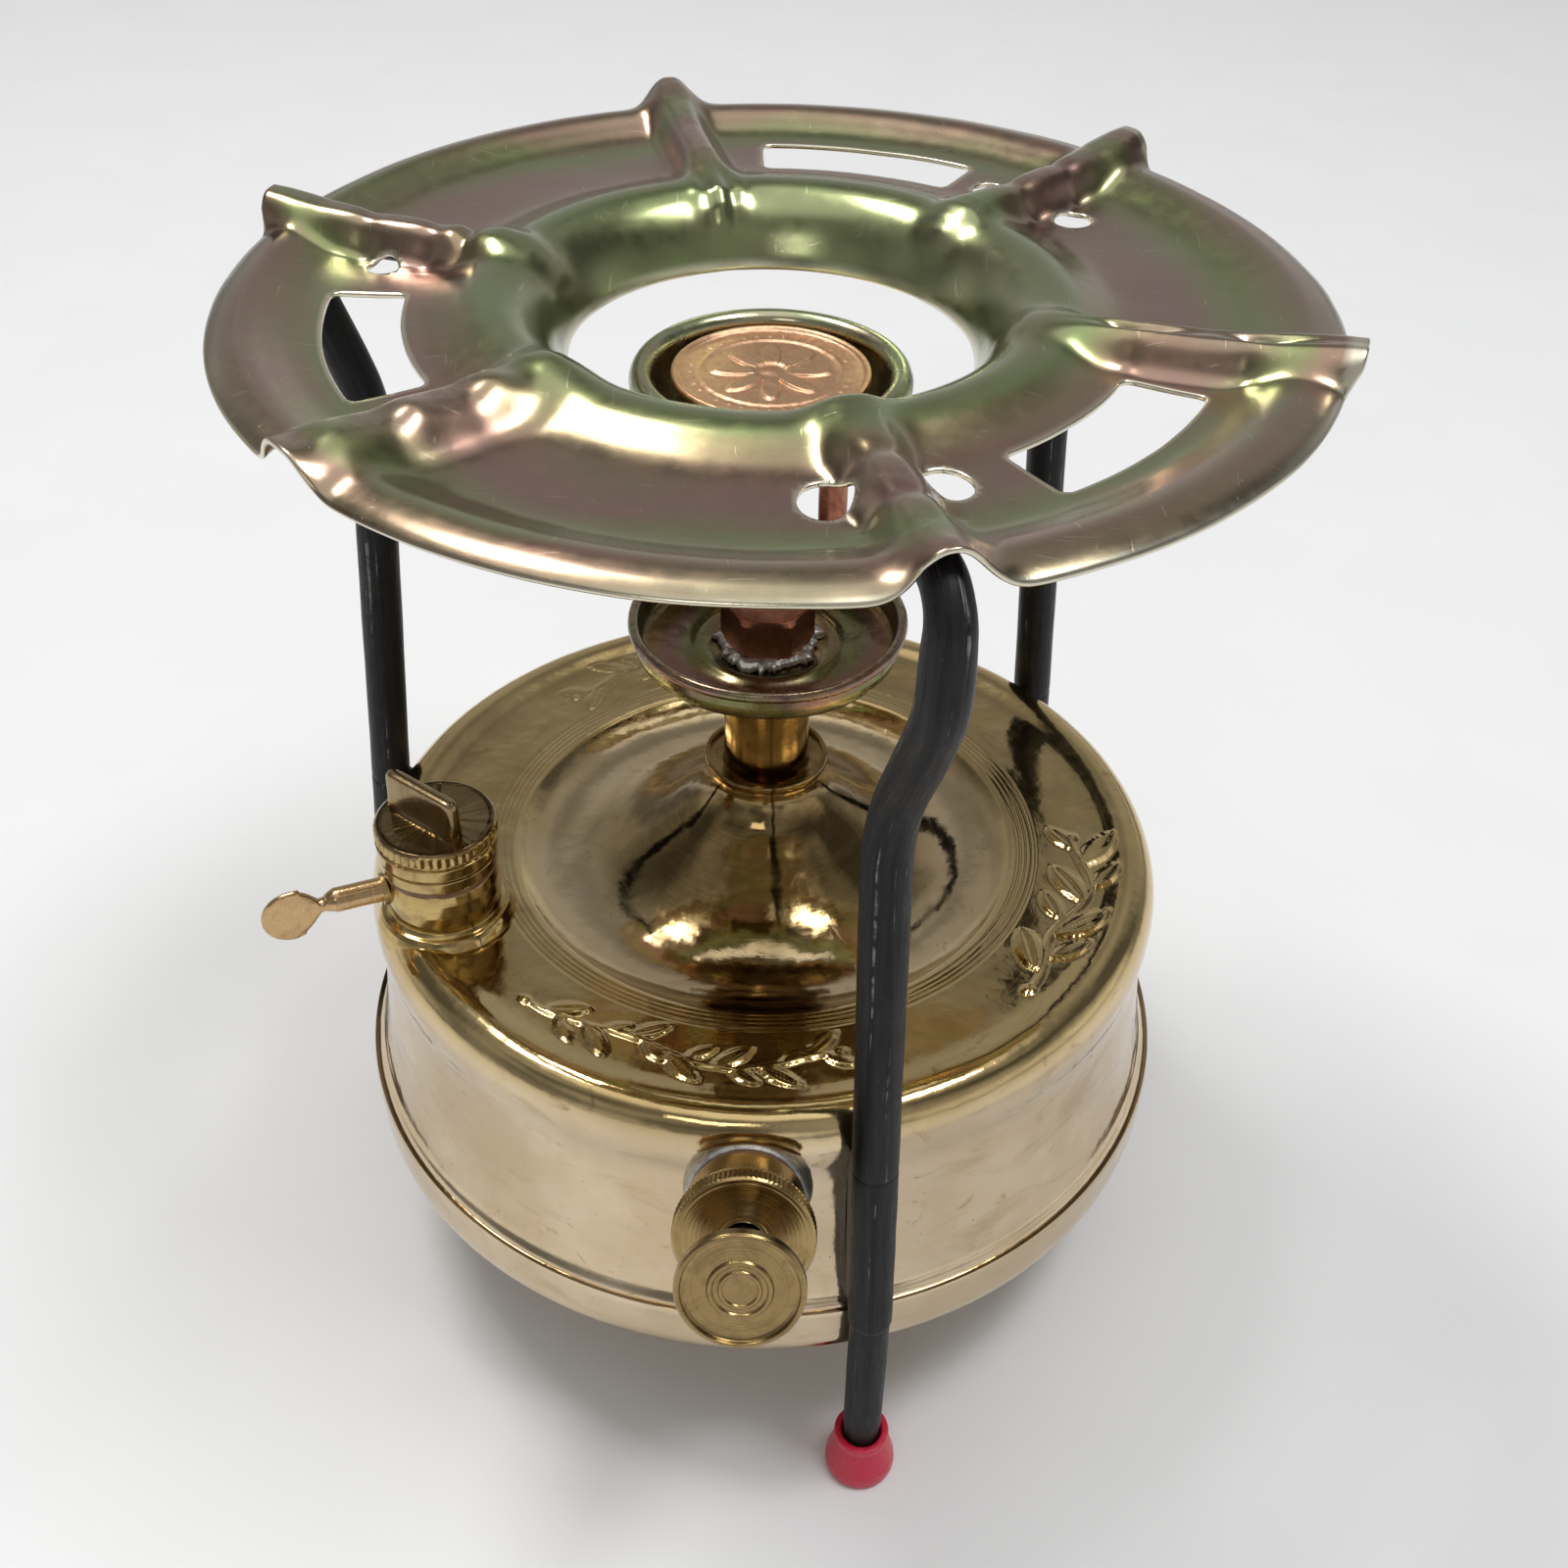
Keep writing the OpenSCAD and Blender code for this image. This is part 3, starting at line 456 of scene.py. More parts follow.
M = {
    "tank": mat_tank("tank_brass"),
    "fit": mat_brass("aged_brass", (0.620, 0.450, 0.185), (0.260, 0.165, 0.065), (0.09, 0.18), 0.6, 0.08, grain=0.02),
    # painted shade: a darker copy of the brass for the riser and socket collar, standing in for dark reflections of
    # the ring and legs above
    "riser": mat_brass("riser_brass_painted_shade", (0.360, 0.240, 0.090), (0.140, 0.082, 0.030), (0.09, 0.20), 0.6, 0.07, grain=0.03),
    "fitobj": mat_brass("aged_brass_inner", (0.560, 0.400, 0.165), (0.180, 0.110, 0.045), (0.22, 0.42), 0.7, 0.15, src="obj"),
    "cap": mat_brass("cap_brass", (0.560, 0.410, 0.180), (0.230, 0.145, 0.065), (0.11, 0.22), 0.6, 0.12, grain=0.03, crown=(115.45, (0.150, 0.100, 0.052))),
    "grip": mat_brass("grip_brass", (0.360, 0.260, 0.135), (0.140, 0.092, 0.050), (0.14, 0.26), 0.6, 0.06, grain=0.04),
    "turned": mat_brass("turned_brass", (0.470, 0.335, 0.145), (0.260, 0.172, 0.070), (0.13, 0.24), 0.5, 0.40, grain=0.03),
    "knob": mat_brass("knob_brass", (0.400, 0.280, 0.125), (0.220, 0.145, 0.062), (0.15, 0.25), 0.6, 0.55, grain=0.03),
    "screw": mat_brass("screw_brass", (0.640, 0.430, 0.220), (0.380, 0.240, 0.115), (0.15, 0.27), 0.5, 0.05, grain=0.04, pits=0.05),
    "turnobj": mat_brass("turned_brass_inner", (0.680, 0.510, 0.220), (0.340, 0.230, 0.090), (0.22, 0.36), 0.45, 0.20, src="obj"),
    "ring": mat_ring("passivated_ring"),
    "cup": mat_cup("passivated_cup", (0.245, 0.185, 0.095)),
    "bell": mat_cup("passivated_bell", (0.42, 0.38, 0.24)),
    "leg": mat_leg("black_steel"),
    "copper": mat_copper("burner_copper", (0.42, 0.17, 0.10), (0.085, 0.042, 0.032), (0.26, 0.42), 0.55),
    "copobj": mat_copper("burner_copper_inner", (0.42, 0.17, 0.10), (0.085, 0.042, 0.032), (0.28, 0.45), 0.6, src="obj"),
    "spread": mat_copper("spreader_bronze", (0.700, 0.420, 0.255), (0.420, 0.240, 0.150), (0.24, 0.38), 0.5, grain=0.35),
    "solder": mat_solder("solder"),
    "soldobj": mat_solder("solder_inner", src="obj"),
    "rubber": mat_rubber("red_rubber"),
    "leather": mat_leather("oiled_leather"),
    "steel": mat_steel("drawn_steel"),
}

# ------------------------------------------------------------------- meshes


def put(name, V, F, mat, body, slot, nodes=(), loc=None, attrs=None, sharp=40, M4=None, mods=(), merge=1e-6, recalc=True):
    """Makes an object of vertices in millimetres, placed by M4."""
    V = np.asarray(V, float)
    if loc is None:
        loc = V.copy()
    W = V if M4 is None else (np.c_[V, np.ones(len(V))] @ M4.T)[:, :3]
    me = bpy.data.meshes.new(name)
    me.from_pydata((W * MM).tolist(), [], [list(map(int, f)) for f in F])
    a = me.attributes.new("loc", "FLOAT_VECTOR", "POINT")
    a.data.foreach_set("vector", np.asarray(loc, np.float32).ravel())
    for k, v in (attrs or {}).items():
        a = me.attributes.new(k, "FLOAT", "POINT")
        a.data.foreach_set("value", np.asarray(v, np.float32))
    bm = bmesh.new()
    bm.from_mesh(me)
    if merge:
        bmesh.ops.remove_doubles(bm, verts=bm.verts, dist=merge)
        bmesh.ops.dissolve_degenerate(bm, dist=1e-8, edges=bm.edges)
    if recalc:
        bmesh.ops.recalc_face_normals(bm, faces=bm.faces)
    bm.to_mesh(me)
    bm.free()
    me.polygons.foreach_set("use_smooth", [True] * len(me.polygons))
    me.set_sharp_from_angle(angle=sharp * D2R)
    me.materials.append(mat)
    ob = bpy.data.objects.new(name, me)
    scene.collection.objects.link(ob)
    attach(ob, body)
    if nodes:
        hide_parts(*nodes)
    for kind, kw in mods:
        md = ob.modifiers.new(kind.lower(), kind)
        for k, v in kw.items():
            setattr(md, k, v)
    return ob


def fillet(pts, rad=0.3, n=4, closed=False):
    """Rounds the corners of a profile. A point may carry its own radius."""
    P = [np.array(p[:2], float) for p in pts]
    R = [p[2] if len(p) > 2 else rad for p in pts]
    out, m = [], len(P)
    for i in range(m):
        if not closed and i in (0, m - 1):
            out.append(P[i])
            continue
        a, b, c = P[i - 1], P[i], P[(i + 1) % m]
        u, v = a - b, c - b
        lu, lv = np.linalg.norm(u), np.linalg.norm(v)
        if R[i] <= 0 or lu < 1e-9 or lv < 1e-9:
            out.append(b)
            continue
        u, v = u / lu, v / lv
        ang = math.acos(max(-1, min(1, float(u @ v))))
        if ang > math.pi - 0.02:
            out.append(b)
            continue
        t = min(R[i] / math.tan(ang / 2), lu * 0.49, lv * 0.49)
        s, e = b + u * t, b + v * t
        for k in range(n + 1):
            w = k / n
            out.append((1 - w) ** 2 * s + 2 * w * (1 - w) * b + w * w * e)
    return np.array(out)


def dense(P, d):
    """Splits long steps of a profile so that none is over d."""
    out = [P[0]]
    for a, b in zip(P[:-1], P[1:]):
        k = max(1, int(math.ceil(np.linalg.norm(b - a) / d)))
        for j in range(1, k + 1):
            out.append(a + (b - a) * j / k)
    return np.array(out)


def curve(P, d):
    """Smooth curve through the points, one point each d (centripetal Catmull-Rom)."""
    P = np.asarray(P, float)
    Q = np.vstack([2 * P[0] - P[1], P, 2 * P[-1] - P[-2]])
    out = []
    for i in range(1, len(Q) - 2):
        p0, p1, p2, p3 = Q[i - 1:i + 3]
        t0 = 0.0
        t1 = t0 + max(np.linalg.norm(p1 - p0), 1e-9) ** 0.5
        t2 = t1 + max(np.linalg.norm(p2 - p1), 1e-9) ** 0.5
        t3 = t2 + max(np.linalg.norm(p3 - p2), 1e-9) ** 0.5
        k = max(1, int(math.ceil(np.linalg.norm(p2 - p1) / d)))
        for j in range(k):
            t = t1 + (t2 - t1) * j / k
            a1 = (t1 - t) / (t1 - t0) * p0 + (t - t0) / (t1 - t0) * p1
            a2 = (t2 - t) / (t2 - t1) * p1 + (t - t1) / (t2 - t1) * p2
            a3 = (t3 - t) / (t3 - t2) * p2 + (t - t2) / (t3 - t2) * p3
            b1 = (t2 - t) / (t2 - t0) * a1 + (t - t0) / (t2 - t0) * a2
            b2 = (t3 - t) / (t3 - t1) * a2 + (t - t1) / (t3 - t1) * a3
            out.append((t2 - t) / (t2 - t1) * b1 + (t - t1) / (t2 - t1) * b2)
    out.append(P[-1])
    return np.array(out)


def offset(P, t):
    """The profile moved t to its left."""
    d = np.gradient(P, axis=0)
    d /= np.maximum(np.linalg.norm(d, axis=1), 1e-9)[:, None]
    return P + t * np.c_[-d[:, 1], d[:, 0]]


def sheet_loop(P, t, n=3):
    """Closed profile of a sheet: the line, its offset and round ends."""
    Q = offset(P, t)
    ends = []
    for a, b, d in ((P[-1], Q[-1], P[-1] - P[-2]), (Q[0], P[0], P[0] - P[1])):
        c, h = (a + b) / 2, (a - b) / 2
        d = d / np.linalg.norm(d) * np.linalg.norm(h)
        ends.append([c + h * math.cos(k * math.pi / (n + 1)) + d * math.sin(k * math.pi / (n + 1)) for k in range(1, n + 1)])
    return np.vstack([P, ends[0], Q[::-1], ends[1]])


def spin(P, seg, closed=False, fn=None):
    P = np.asarray(P, float)
    n = len(P)
    A = np.tile(np.linspace(0, 2 * np.pi, seg, endpoint=False), (n, 1))
    R, Z = np.repeat(P[:, :1], seg, 1), np.repeat(P[:, 1:2], seg, 1)
    if fn:
        R, Z = fn(R, Z, A)
    V = np.stack([R * np.cos(A), R * np.sin(A), Z], -1).reshape(-1, 3)
    F = []
    for i in range(n if closed else n - 1):
        i2 = (i + 1) % n
        for j in range(seg):
            j2 = (j + 1) % seg
            F.append((i * seg + j, i * seg + j2, i2 * seg + j2, i2 * seg + j))
    return V, F


def lathe(name, P, mat, body, slot, nodes=(), seg=128, closed=True, fn=None, wear=None, **kw):
    V, F = spin(P, seg, closed, fn)
    attrs = {}
    if wear is not None:
        attrs["wear"] = wear(np.hypot(V[:, 0], V[:, 1]), V[:, 2])
    return put(name, V, F, mat, body, slot, nodes, attrs=attrs, **kw)


def tube(path, rad, sides=32, side=None, shape=None):
    """Skin of a bar along a flat path. rad may vary; shape(theta, s) scales it."""
    path = np.asarray(path, float)
    n = len(path)
    T = np.gradient(path, axis=0)
    T /= np.linalg.norm(T, axis=1)[:, None]
    s = np.r_[0, np.cumsum(np.linalg.norm(np.diff(path, axis=0), axis=1))]
    rad = np.broadcast_to(np.asarray(rad, float), (n,))
    side = np.asarray(side, float)
    V, L = [], []
    th = np.linspace(0, 2 * np.pi, sides, endpoint=False)
    for i in range(n):
        nrm = np.cross(side, T[i])
        nrm /= np.linalg.norm(nrm)
        k = np.ones(sides) if shape is None else shape(th, s[i])
        r = rad[i] * k
        V.append(path[i] + np.outer(r * np.cos(th), nrm) + np.outer(r * np.sin(th), side))
        L.append(np.c_[rad[i] * np.cos(th), rad[i] * np.sin(th), np.full(sides, s[i])])
    V, L = np.vstack(V), np.vstack(L)
    F = [(i * sides + k, i * sides + (k + 1) % sides, (i + 1) * sides + (k + 1) % sides, (i + 1) * sides + k)
         for i in range(n - 1) for k in range(sides)]
    F.append(tuple(range(sides - 1, -1, -1)))
    F.append(tuple((n - 1) * sides + k for k in range(sides)))
    return V, F, L


def bent(points, bends, d=1.0, steps=20):
    """A flat path with its corners bent to a radius."""
    P = [np.array(p, float) for p in points]
    out = [P[0]]
    for i in range(1, len(P) - 1):
        u, v = P[i] - P[i - 1], P[i + 1] - P[i]
        u, v = u / np.linalg.norm(u), v / np.linalg.norm(v)
        w = math.acos(max(-1, min(1, float(u @ v))))
        c = bends[i] * math.tan(w / 2)
        left = u[0] * v[1] - u[1] * v[0] > 0
        nr = np.array([-u[1], u[0]]) if left else np.array([u[1], -u[0]])
        s = P[i] - u * c
        cen = s + nr * bends[i]
        for k in range(steps + 1):
            t = (1 if left else -1) * w * k / steps
            q = s - cen
            out.append(cen + np.array([q[0] * math.cos(t) - q[1] * math.sin(t), q[0] * math.sin(t) + q[1] * math.cos(t)]))
    out.append(P[-1])
    return dense(np.array(out), d)


# --------------------------------------------------------------------- tank

SHELL = [
    [83.9, 36.0], [84.0, 38.0], [84.0, 45.2], [83.9, 46.2], [83.2, 47.0], [82.6, 47.8], [82.3, 49.0],
    [81.9, 51.5], [81.2, 55.5], [80.6, 60.0], [80.0, 66.0], [79.5, 72.0], [79.3, 76.0], [79.3, 78.5],
    [79.5, 80.5], [79.9, 82.5], [80.2, 84.5], [80.3, 86.5], [80.1, 88.3], [79.6, 90.0], [78.7, 91.6],
    [77.5, 92.8], [76.1, 93.5], [74.6, 93.8], [73.0, 93.7], [71.4, 93.3], [69.8, 92.9], [68.0, 92.7],
    [61.0, 92.4], [56.6, 92.2], [51.6, 92.0], [50.6, 91.7], [49.6, 91.0], [48.0, 90.1], [45.6, 89.2],
    [42.5, 88.7], [39.5, 88.7], [36.0, 89.3], [32.5, 90.5], [28.5, 92.4], [24.5, 94.9], [21.0, 97.5],
    [17.8, 100.0], [15.2, 102.0], [13.0, 104.0], [11.5, 105.9], [10.5, 107.8], [10.05, 109.6], [9.95, 111.6],
]


def leaf(U, V, cu, cv, ang, a, b):
    """Height of one embossed leaf, 0 to 1, with a vein down its middle."""
    c, s = math.cos(ang * D2R), math.sin(ang * D2R)
    x = ((U - cu) * c + (V - cv) * s) / a
    y = (-(U - cu) * s + (V - cv) * c) / b
    w = np.clip(1 - x * x, 0, 1) ** 0.75
    q = np.clip(1 - (y / np.maximum(w, 1e-3)) ** 2, 0, 1) * (w > 0.02)
    vein = 1 - 0.45 * np.exp(-(y / 0.16) ** 2) * (np.abs(x) < 0.85)
    return np.sqrt(q) * vein


def sprig(R, A, r0, a0, a1, amp, leaves, size, stem):
    """A stem that waves along an arc of the tank top, with leaves on both sides."""
    mid = (a0 + a1) / 2 * D2R
    dA = np.mod(A - mid + np.pi, 2 * np.pi) - np.pi
    U, V = dA * r0, R - r0
    half = (a1 - a0) / 2 * D2R * r0
    wave = lambda u: amp * np.sin(u / half * math.pi * 1.5)
    inside = step(half + 1.0, half - 1.5, np.abs(U))
    H = np.sqrt(np.clip(1 - ((V - wave(U)) / stem) ** 2, 0, 1)) * inside * 0.8
    for k in range(leaves):
        u = -half + (k + 0.6) * 2 * half / leaves
        sgn = 1 if k % 2 else -1
        v = float(wave(u)) + sgn * size[1] * 1.15
        H = np.maximum(H, leaf(U, V, u + size[0] * 0.35, v + sgn * size[1] * 0.35, 38 * sgn, size[0], size[1]))
        H = np.maximum(H, 0.9 * leaf(U, V, u + size[0] * 0.9, float(wave(u)) - sgn * size[1] * 1.0, -34 * sgn, size[0] * 0.7, size[1] * 0.75))
    for u in (-half - 1.0, half + 1.5):
        H = np.maximum(H, np.sqrt(np.clip(1 - ((U - u) ** 2 + (V - wave(u)) ** 2) / (stem * 1.9) ** 2, 0, 1)))
    return H


def tank_fn(R, Z, A):
    R, Z = R.copy(), Z.copy()
    top = step(88, 92, Z) * (R > 50)
    H = sprig(R, A, 64.2, -131, -78, 1.6, 7, (4.6, 1.9), 0.55)
    H = np.maximum(H, 1.15 * sprig(R, A, 65.2, -41, -2, 2.0, 4, (6.4, 2.9), 0.75))
    H = np.maximum(H, 0.35 * sprig(R, A, 64.2, 78, 132, 1.6, 7, (4.6, 1.9), 0.55))
    Z += 0.62 * H * top * (R < 76)
    ring = (R > 51.9) & (R < 56.0) & (Z > 90)
    Z -= np.where(ring, 0.16 * (0.5 - 0.5 * np.cos((R - 51.9) / 4.1 * 2 * np.pi * 4)), 0)
    P = np.stack([np.cos(A) * 2.2, np.sin(A) * 2.2, Z / 16.0], -1).reshape(-1, 3)
    w = vnoise(P).reshape(A.shape)
    wall = step(49, 53, Z) * step(80, 74, Z)
    R += 0.10 * w * wall
    P = np.stack([R * np.cos(A) / 24.0, R * np.sin(A) / 24.0, Z * 0 + 3.3], -1).reshape(-1, 3)
    Z += 0.07 * vnoise(P).reshape(A.shape) * step(90.5, 92, Z) * step(76, 71, R) * step(57, 60, R)
    return R, Z


def bore(ob, M4, rad, z0, z1, seg=128):
    """Opens a round hole of radius rad through a skin, along the Z axis of M4."""
    ang = np.arange(seg) * 2 * math.pi / seg
    ring = np.stack([rad * np.cos(ang), rad * np.sin(ang)], -1)
    V = np.vstack([np.c_[ring, np.full(seg, z0)], np.c_[ring, np.full(seg, z1)]])
    W = (np.c_[V, np.ones(len(V))] @ M4.T)[:, :3] * MM
    F = [[k, (k + 1) % seg, seg + (k + 1) % seg, seg + k] for k in range(seg)]
    F += [list(range(seg))[::-1], list(range(seg, 2 * seg))]
    me = bpy.data.meshes.new("bore_tool")
    me.from_pydata(W.tolist(), [], F)
    tool = bpy.data.objects.new("bore_tool", me)
    scene.collection.objects.link(tool)
    md = ob.modifiers.new("bore", "BOOLEAN")
    md.operation = "DIFFERENCE"
    md.solver = "EXACT"
    md.object = tool
    deps = bpy.context.evaluated_depsgraph_get()
    deps.update()
    new = bpy.data.meshes.new_from_object(ob.evaluated_get(deps), preserve_all_data_layers=True, depsgraph=deps)
    ob.modifiers.remove(md)
    bpy.data.objects.remove(tool)
    bpy.data.meshes.remove(me)
    old = ob.data
    if len(new.polygons) > 0.9 * len(old.polygons):
        ob.data = new
        bpy.data.meshes.remove(old)
        new.name = ob.name
    return ob


def build_tank():
    line = curve(SHELL, 1.2)
    keep = []
    for a, b in zip(line[:-1], line[1:]):
        keep.append(a)
        fine = 0.45 if (51 < a[0] < 76 and a[1] > 90) else 1.2
        k = int(math.ceil(np.linalg.norm(b - a) / fine))
        for j in range(1, k):
            keep.append(a + (b - a) * j / k)
    keep.append(line[-1])
    top = np.array(keep)
    inner = offset(curve(SHELL, 3.0), 0.8)[::-1]
    inner[:, 0] = np.minimum(inner[:, 0], 83.0)
    loop = np.vstack([top, inner])
    n_top = len(top)

    def fn(R, Z, A):
        R2, Z2 = tank_fn(R[:n_top], Z[:n_top], A[:n_top])
        return np.vstack([R2, R[n_top:]]), np.vstack([Z2, Z[n_top:]])

    lathe("tank_shell_skin", loop, M["tank"], "stove", "brass_polished", ("tank_shell",), seg=640, fn=fn, sharp=60)
    bore(bpy.data.objects["tank_shell_skin"], PUMP, 9.25, -20, 20)
    pan = [
        [84.75, 45.75], [84.95, 45.3], [85.0, 44.6], [84.95, 43.6], [84.95, 39.0], [84.8, 36.6], [84.2, 34.6], [83.0, 33.0],
        [81.2, 31.9], [79.0, 31.5], [76.5, 31.6], [74.5, 32.2], [71.5, 33.4], [66, 34.8], [56, 36.2], [38, 37.6],
        [18, 38.4], [0, 38.6],
    ]
    out = curve(pan, 1.2)
    inn = offset(out, -0.75)
    inn[:, 0] = np.maximum(inn[:, 0], 0)

    def fn2(R, Z, A):
        P = np.stack([np.cos(A) * 3, np.sin(A) * 3, Z / 14.0], -1).reshape(-1, 3)
        w = vnoise(P).reshape(A.shape)
        return R + 0.08 * w * (R > 60) * step(44, 41, Z), Z + 0.12 * w * step(70, 60, R) * step(2, 12, R)

    lathe("tank_pan_skin", np.vstack([out, inn[::-1]]), M["tank"], "stove", "brass_polished", ("tank_bottom",), seg=320, fn=fn2, sharp=60)


def build_centre():
    P = fillet([(9.0, 98.5, 0), (9.0, 111.7, 0), (11.3, 111.7, 0.3), (12.15, 112.3, 0.35), (12.2, 113.3, 0.25), (12.0, 113.7, 0.2), (11.3, 113.7, 0.25),
                (11.1, 113.3, 0.2), (11.1, 112.7, 0.1), (6.1, 112.7, 0), (6.1, 105, 0), (3.6, 105, 0), (3.6, 98.5, 0)], 0.3, 4, True)
    wob = lambda R, Z, A: (R + 0.07 * np.sin(2 * A + 1.1) * (R > 10), Z + (0.10 * np.sin(3 * A) + 0.06 * np.sin(7 * A + 2)) * (R > 10.5) * (Z > 113))
    lathe("socket_collar", P, M["riser"], "stove", "brass_aged", ("centre_socket",), seg=160, fn=wob)
    rise = curve([(8.7, 112.75), (8.45, 113.5), (8.38, 115.0), (8.36, 124), (8.4, 134), (8.5, 137.4), (9.0, 138.5), (9.1, 138.95)], 1.2)
    P = np.vstack([[(5.95, 105.4)], [(5.95, 112.75)], rise, [(4.0, 138.95), (4.0, 105.4)]])
    lathe("riser_skin", P, M["riser"], "stove", "brass_aged", ("riser_tube",), seg=128)


# ------------------------------------------------------------------- burner


def build_burner():
    # Spirit cup: pressed pan with a raised inner ring and a folded rim
    cup = curve([(6.2, 139.0), (10.2, 139.0), (11.4, 139.35), (12.3, 139.75), (13.2, 139.75), (14.0, 139.35), (15.4, 138.95), (18.2, 138.85),
                 (21.8, 138.9), (23.7, 139.35), (24.85, 140.5), (25.3, 142.0), (25.4, 143.6), (25.45, 145.2)], 0.5)
    lip = [(25.25 + 1.05 * math.cos(t), 145.3 + 1.05 * math.sin(t)) for t in np.linspace(-0.9, math.pi + 0.2, 16)]
    out = [p for p in cup if p[1] < 144.3 or p[0] < 20]
    inn = [q for q in offset(cup, 0.75) if q[1] < 144.6]
    P = np.vstack([out, lip, inn[::-1]])
    fn = lambda R, Z, A: (R + 0.10 * np.sin(2 * A + 0.6) * step(20, 26, R), Z + (0.16 * np.sin(3 * A + 1.0) + 0.06 * np.sin(7 * A)) * step(18, 26, R))
    lathe("spirit_cup_skin", P, M["cup"], "stove", "steel_passivated", ("spirit_cup",), seg=160, fn=fn,
          wear=lambda r, z: np.exp(-((r - 25.4) / 0.9) ** 2) * step(144.6, 146.0, z))

    # Lead seal squeezed out round the burner base
    def seal(R, Z, A):
        x, y = np.cos(A), np.sin(A)
        w = fnoise(np.stack([x * 3.1, y * 3.1, R * 0.05], -1).reshape(-1, 3), 3).reshape(A.shape)
        w2 = fnoise(np.stack([x * 9, y * 9, R * 0.3], -1).reshape(-1, 3), 2).reshape(A.shape)
        spike = np.maximum(0, np.sin(A * 3.0 + 2.2 * w + 0.7)) ** 3 + 0.7 * np.maximum(0, np.sin(A * 7.0 + 3.0 * w2)) ** 4
        R2 = np.where(R > 7.6, R + (0.9 * w + 0.6 * w2 + 1.7 * spike - 0.9) * step(7.8, 9.8, R), R)
        return R2, Z + (0.24 * w2 + 0.20 * w) * (Z > 140.2)
    P = fillet([(4.0, 139.85, 0), (9.9, 139.85, 0), (10.3, 140.2, 0.2), (10.0, 140.9, 0.4), (9.2, 141.4, 0.4), (8.0, 141.5, 0.2), (4.0, 141.35, 0)], 0.2, 4, True)
    lathe("lead_seal", dense(np.vstack([P, P[:1]]), 0.5)[:-1], M["solder"], "stove", "solder", ("burner_washer",), seg=144, fn=seal, sharp=70)

    # Hexagon base with its neck
    def hexed(R, Z, A):
        a = np.mod(A, np.pi / 3) - np.pi / 6
        flat = 8.9 * math.cos(math.pi / 6) / np.cos(a)
        return np.where(R > 7.8, np.minimum(R, flat), R), Z
    P = fillet([(2.0, 131, 0), (3.93, 131, 0.2), (3.93, 141.4, 0), (8.2, 141.4, 0.2), (8.95, 142.3, 0.3), (8.95, 148.3, 0.3), (7.9, 149.35, 0.3),
                (7.4, 149.4, 0.1), (6.6, 153.0, 0.6), (2.0, 153.0, 0)], 0.2, 4, True)
    lathe("burner_base_skin", P, M["copper"], "stove", "copper_dark", ("burner_base",), seg=192, fn=hexed, sharp=22)

    # Rising and falling tubes
    Vs, Fs, Ls, n = [], [], [], 0
    for a in (0, 180, 90, 270):
        rise = a in (0, 180)
        pts = [(3.2, 151.0), (11.4, 158.6), (11.4, 180.2)] if rise else [(3.4, 161.2), (11.4, 165.0), (11.4, 180.2)]
        q = bent(pts, [0, 6 if rise else 3.4, 0], 0.7, 14)
        c, s = math.cos(a * D2R), math.sin(a * D2R)
        V, F, L = tube(np.c_[q[:, 0] * c, q[:, 0] * s, q[:, 1]], 2.6 if rise else 2.4, 32, (-s, c, 0))
        Vs.append(V); Ls.append(L + 7 * a)
        Fs += [tuple(i + n for i in f) for f in F]
        n += len(V)
    put("vapour_tube_skins", np.vstack(Vs), Fs, M["copper"], "stove", "copper_dark", ("vapour_tubes",), loc=np.vstack(Ls), sharp=50)

    P = fillet([(7.6, 180.2), (14.2, 180.2), (14.2, 187.2), (7.6, 187.2)], 0.9, 5, True)
    lathe("burner_head_skin", P, M["copper"], "stove", "copper_dark", ("burner_head",), seg=112)

    # Flared bell with a rolled lip
    bell = curve([(14.7, 180.9), (15.6, 181.5), (16.6, 182.6), (18.0, 185.4), (19.4, 188.8), (20.3, 192.2), (20.7, 194.6),
                  (21.1, 195.8), (21.9, 196.5), (22.7, 196.45), (23.3, 195.9), (23.62, 195.1), (23.66, 194.3)], 0.45)
    fn = lambda R, Z, A: (R + 0.06 * np.sin(3 * A) * step(19, 23, R), Z + 0.10 * np.sin(2 * A + 2) * step(19, 23, R))
    lathe("burner_bell_skin", sheet_loop(bell, 0.72), M["bell"], "stove", "steel_passivated", ("burner_bell",), seg=160, fn=fn,
          wear=lambda r, z: 0.7 * np.exp(-((z - 196.9) / 0.6) ** 2))

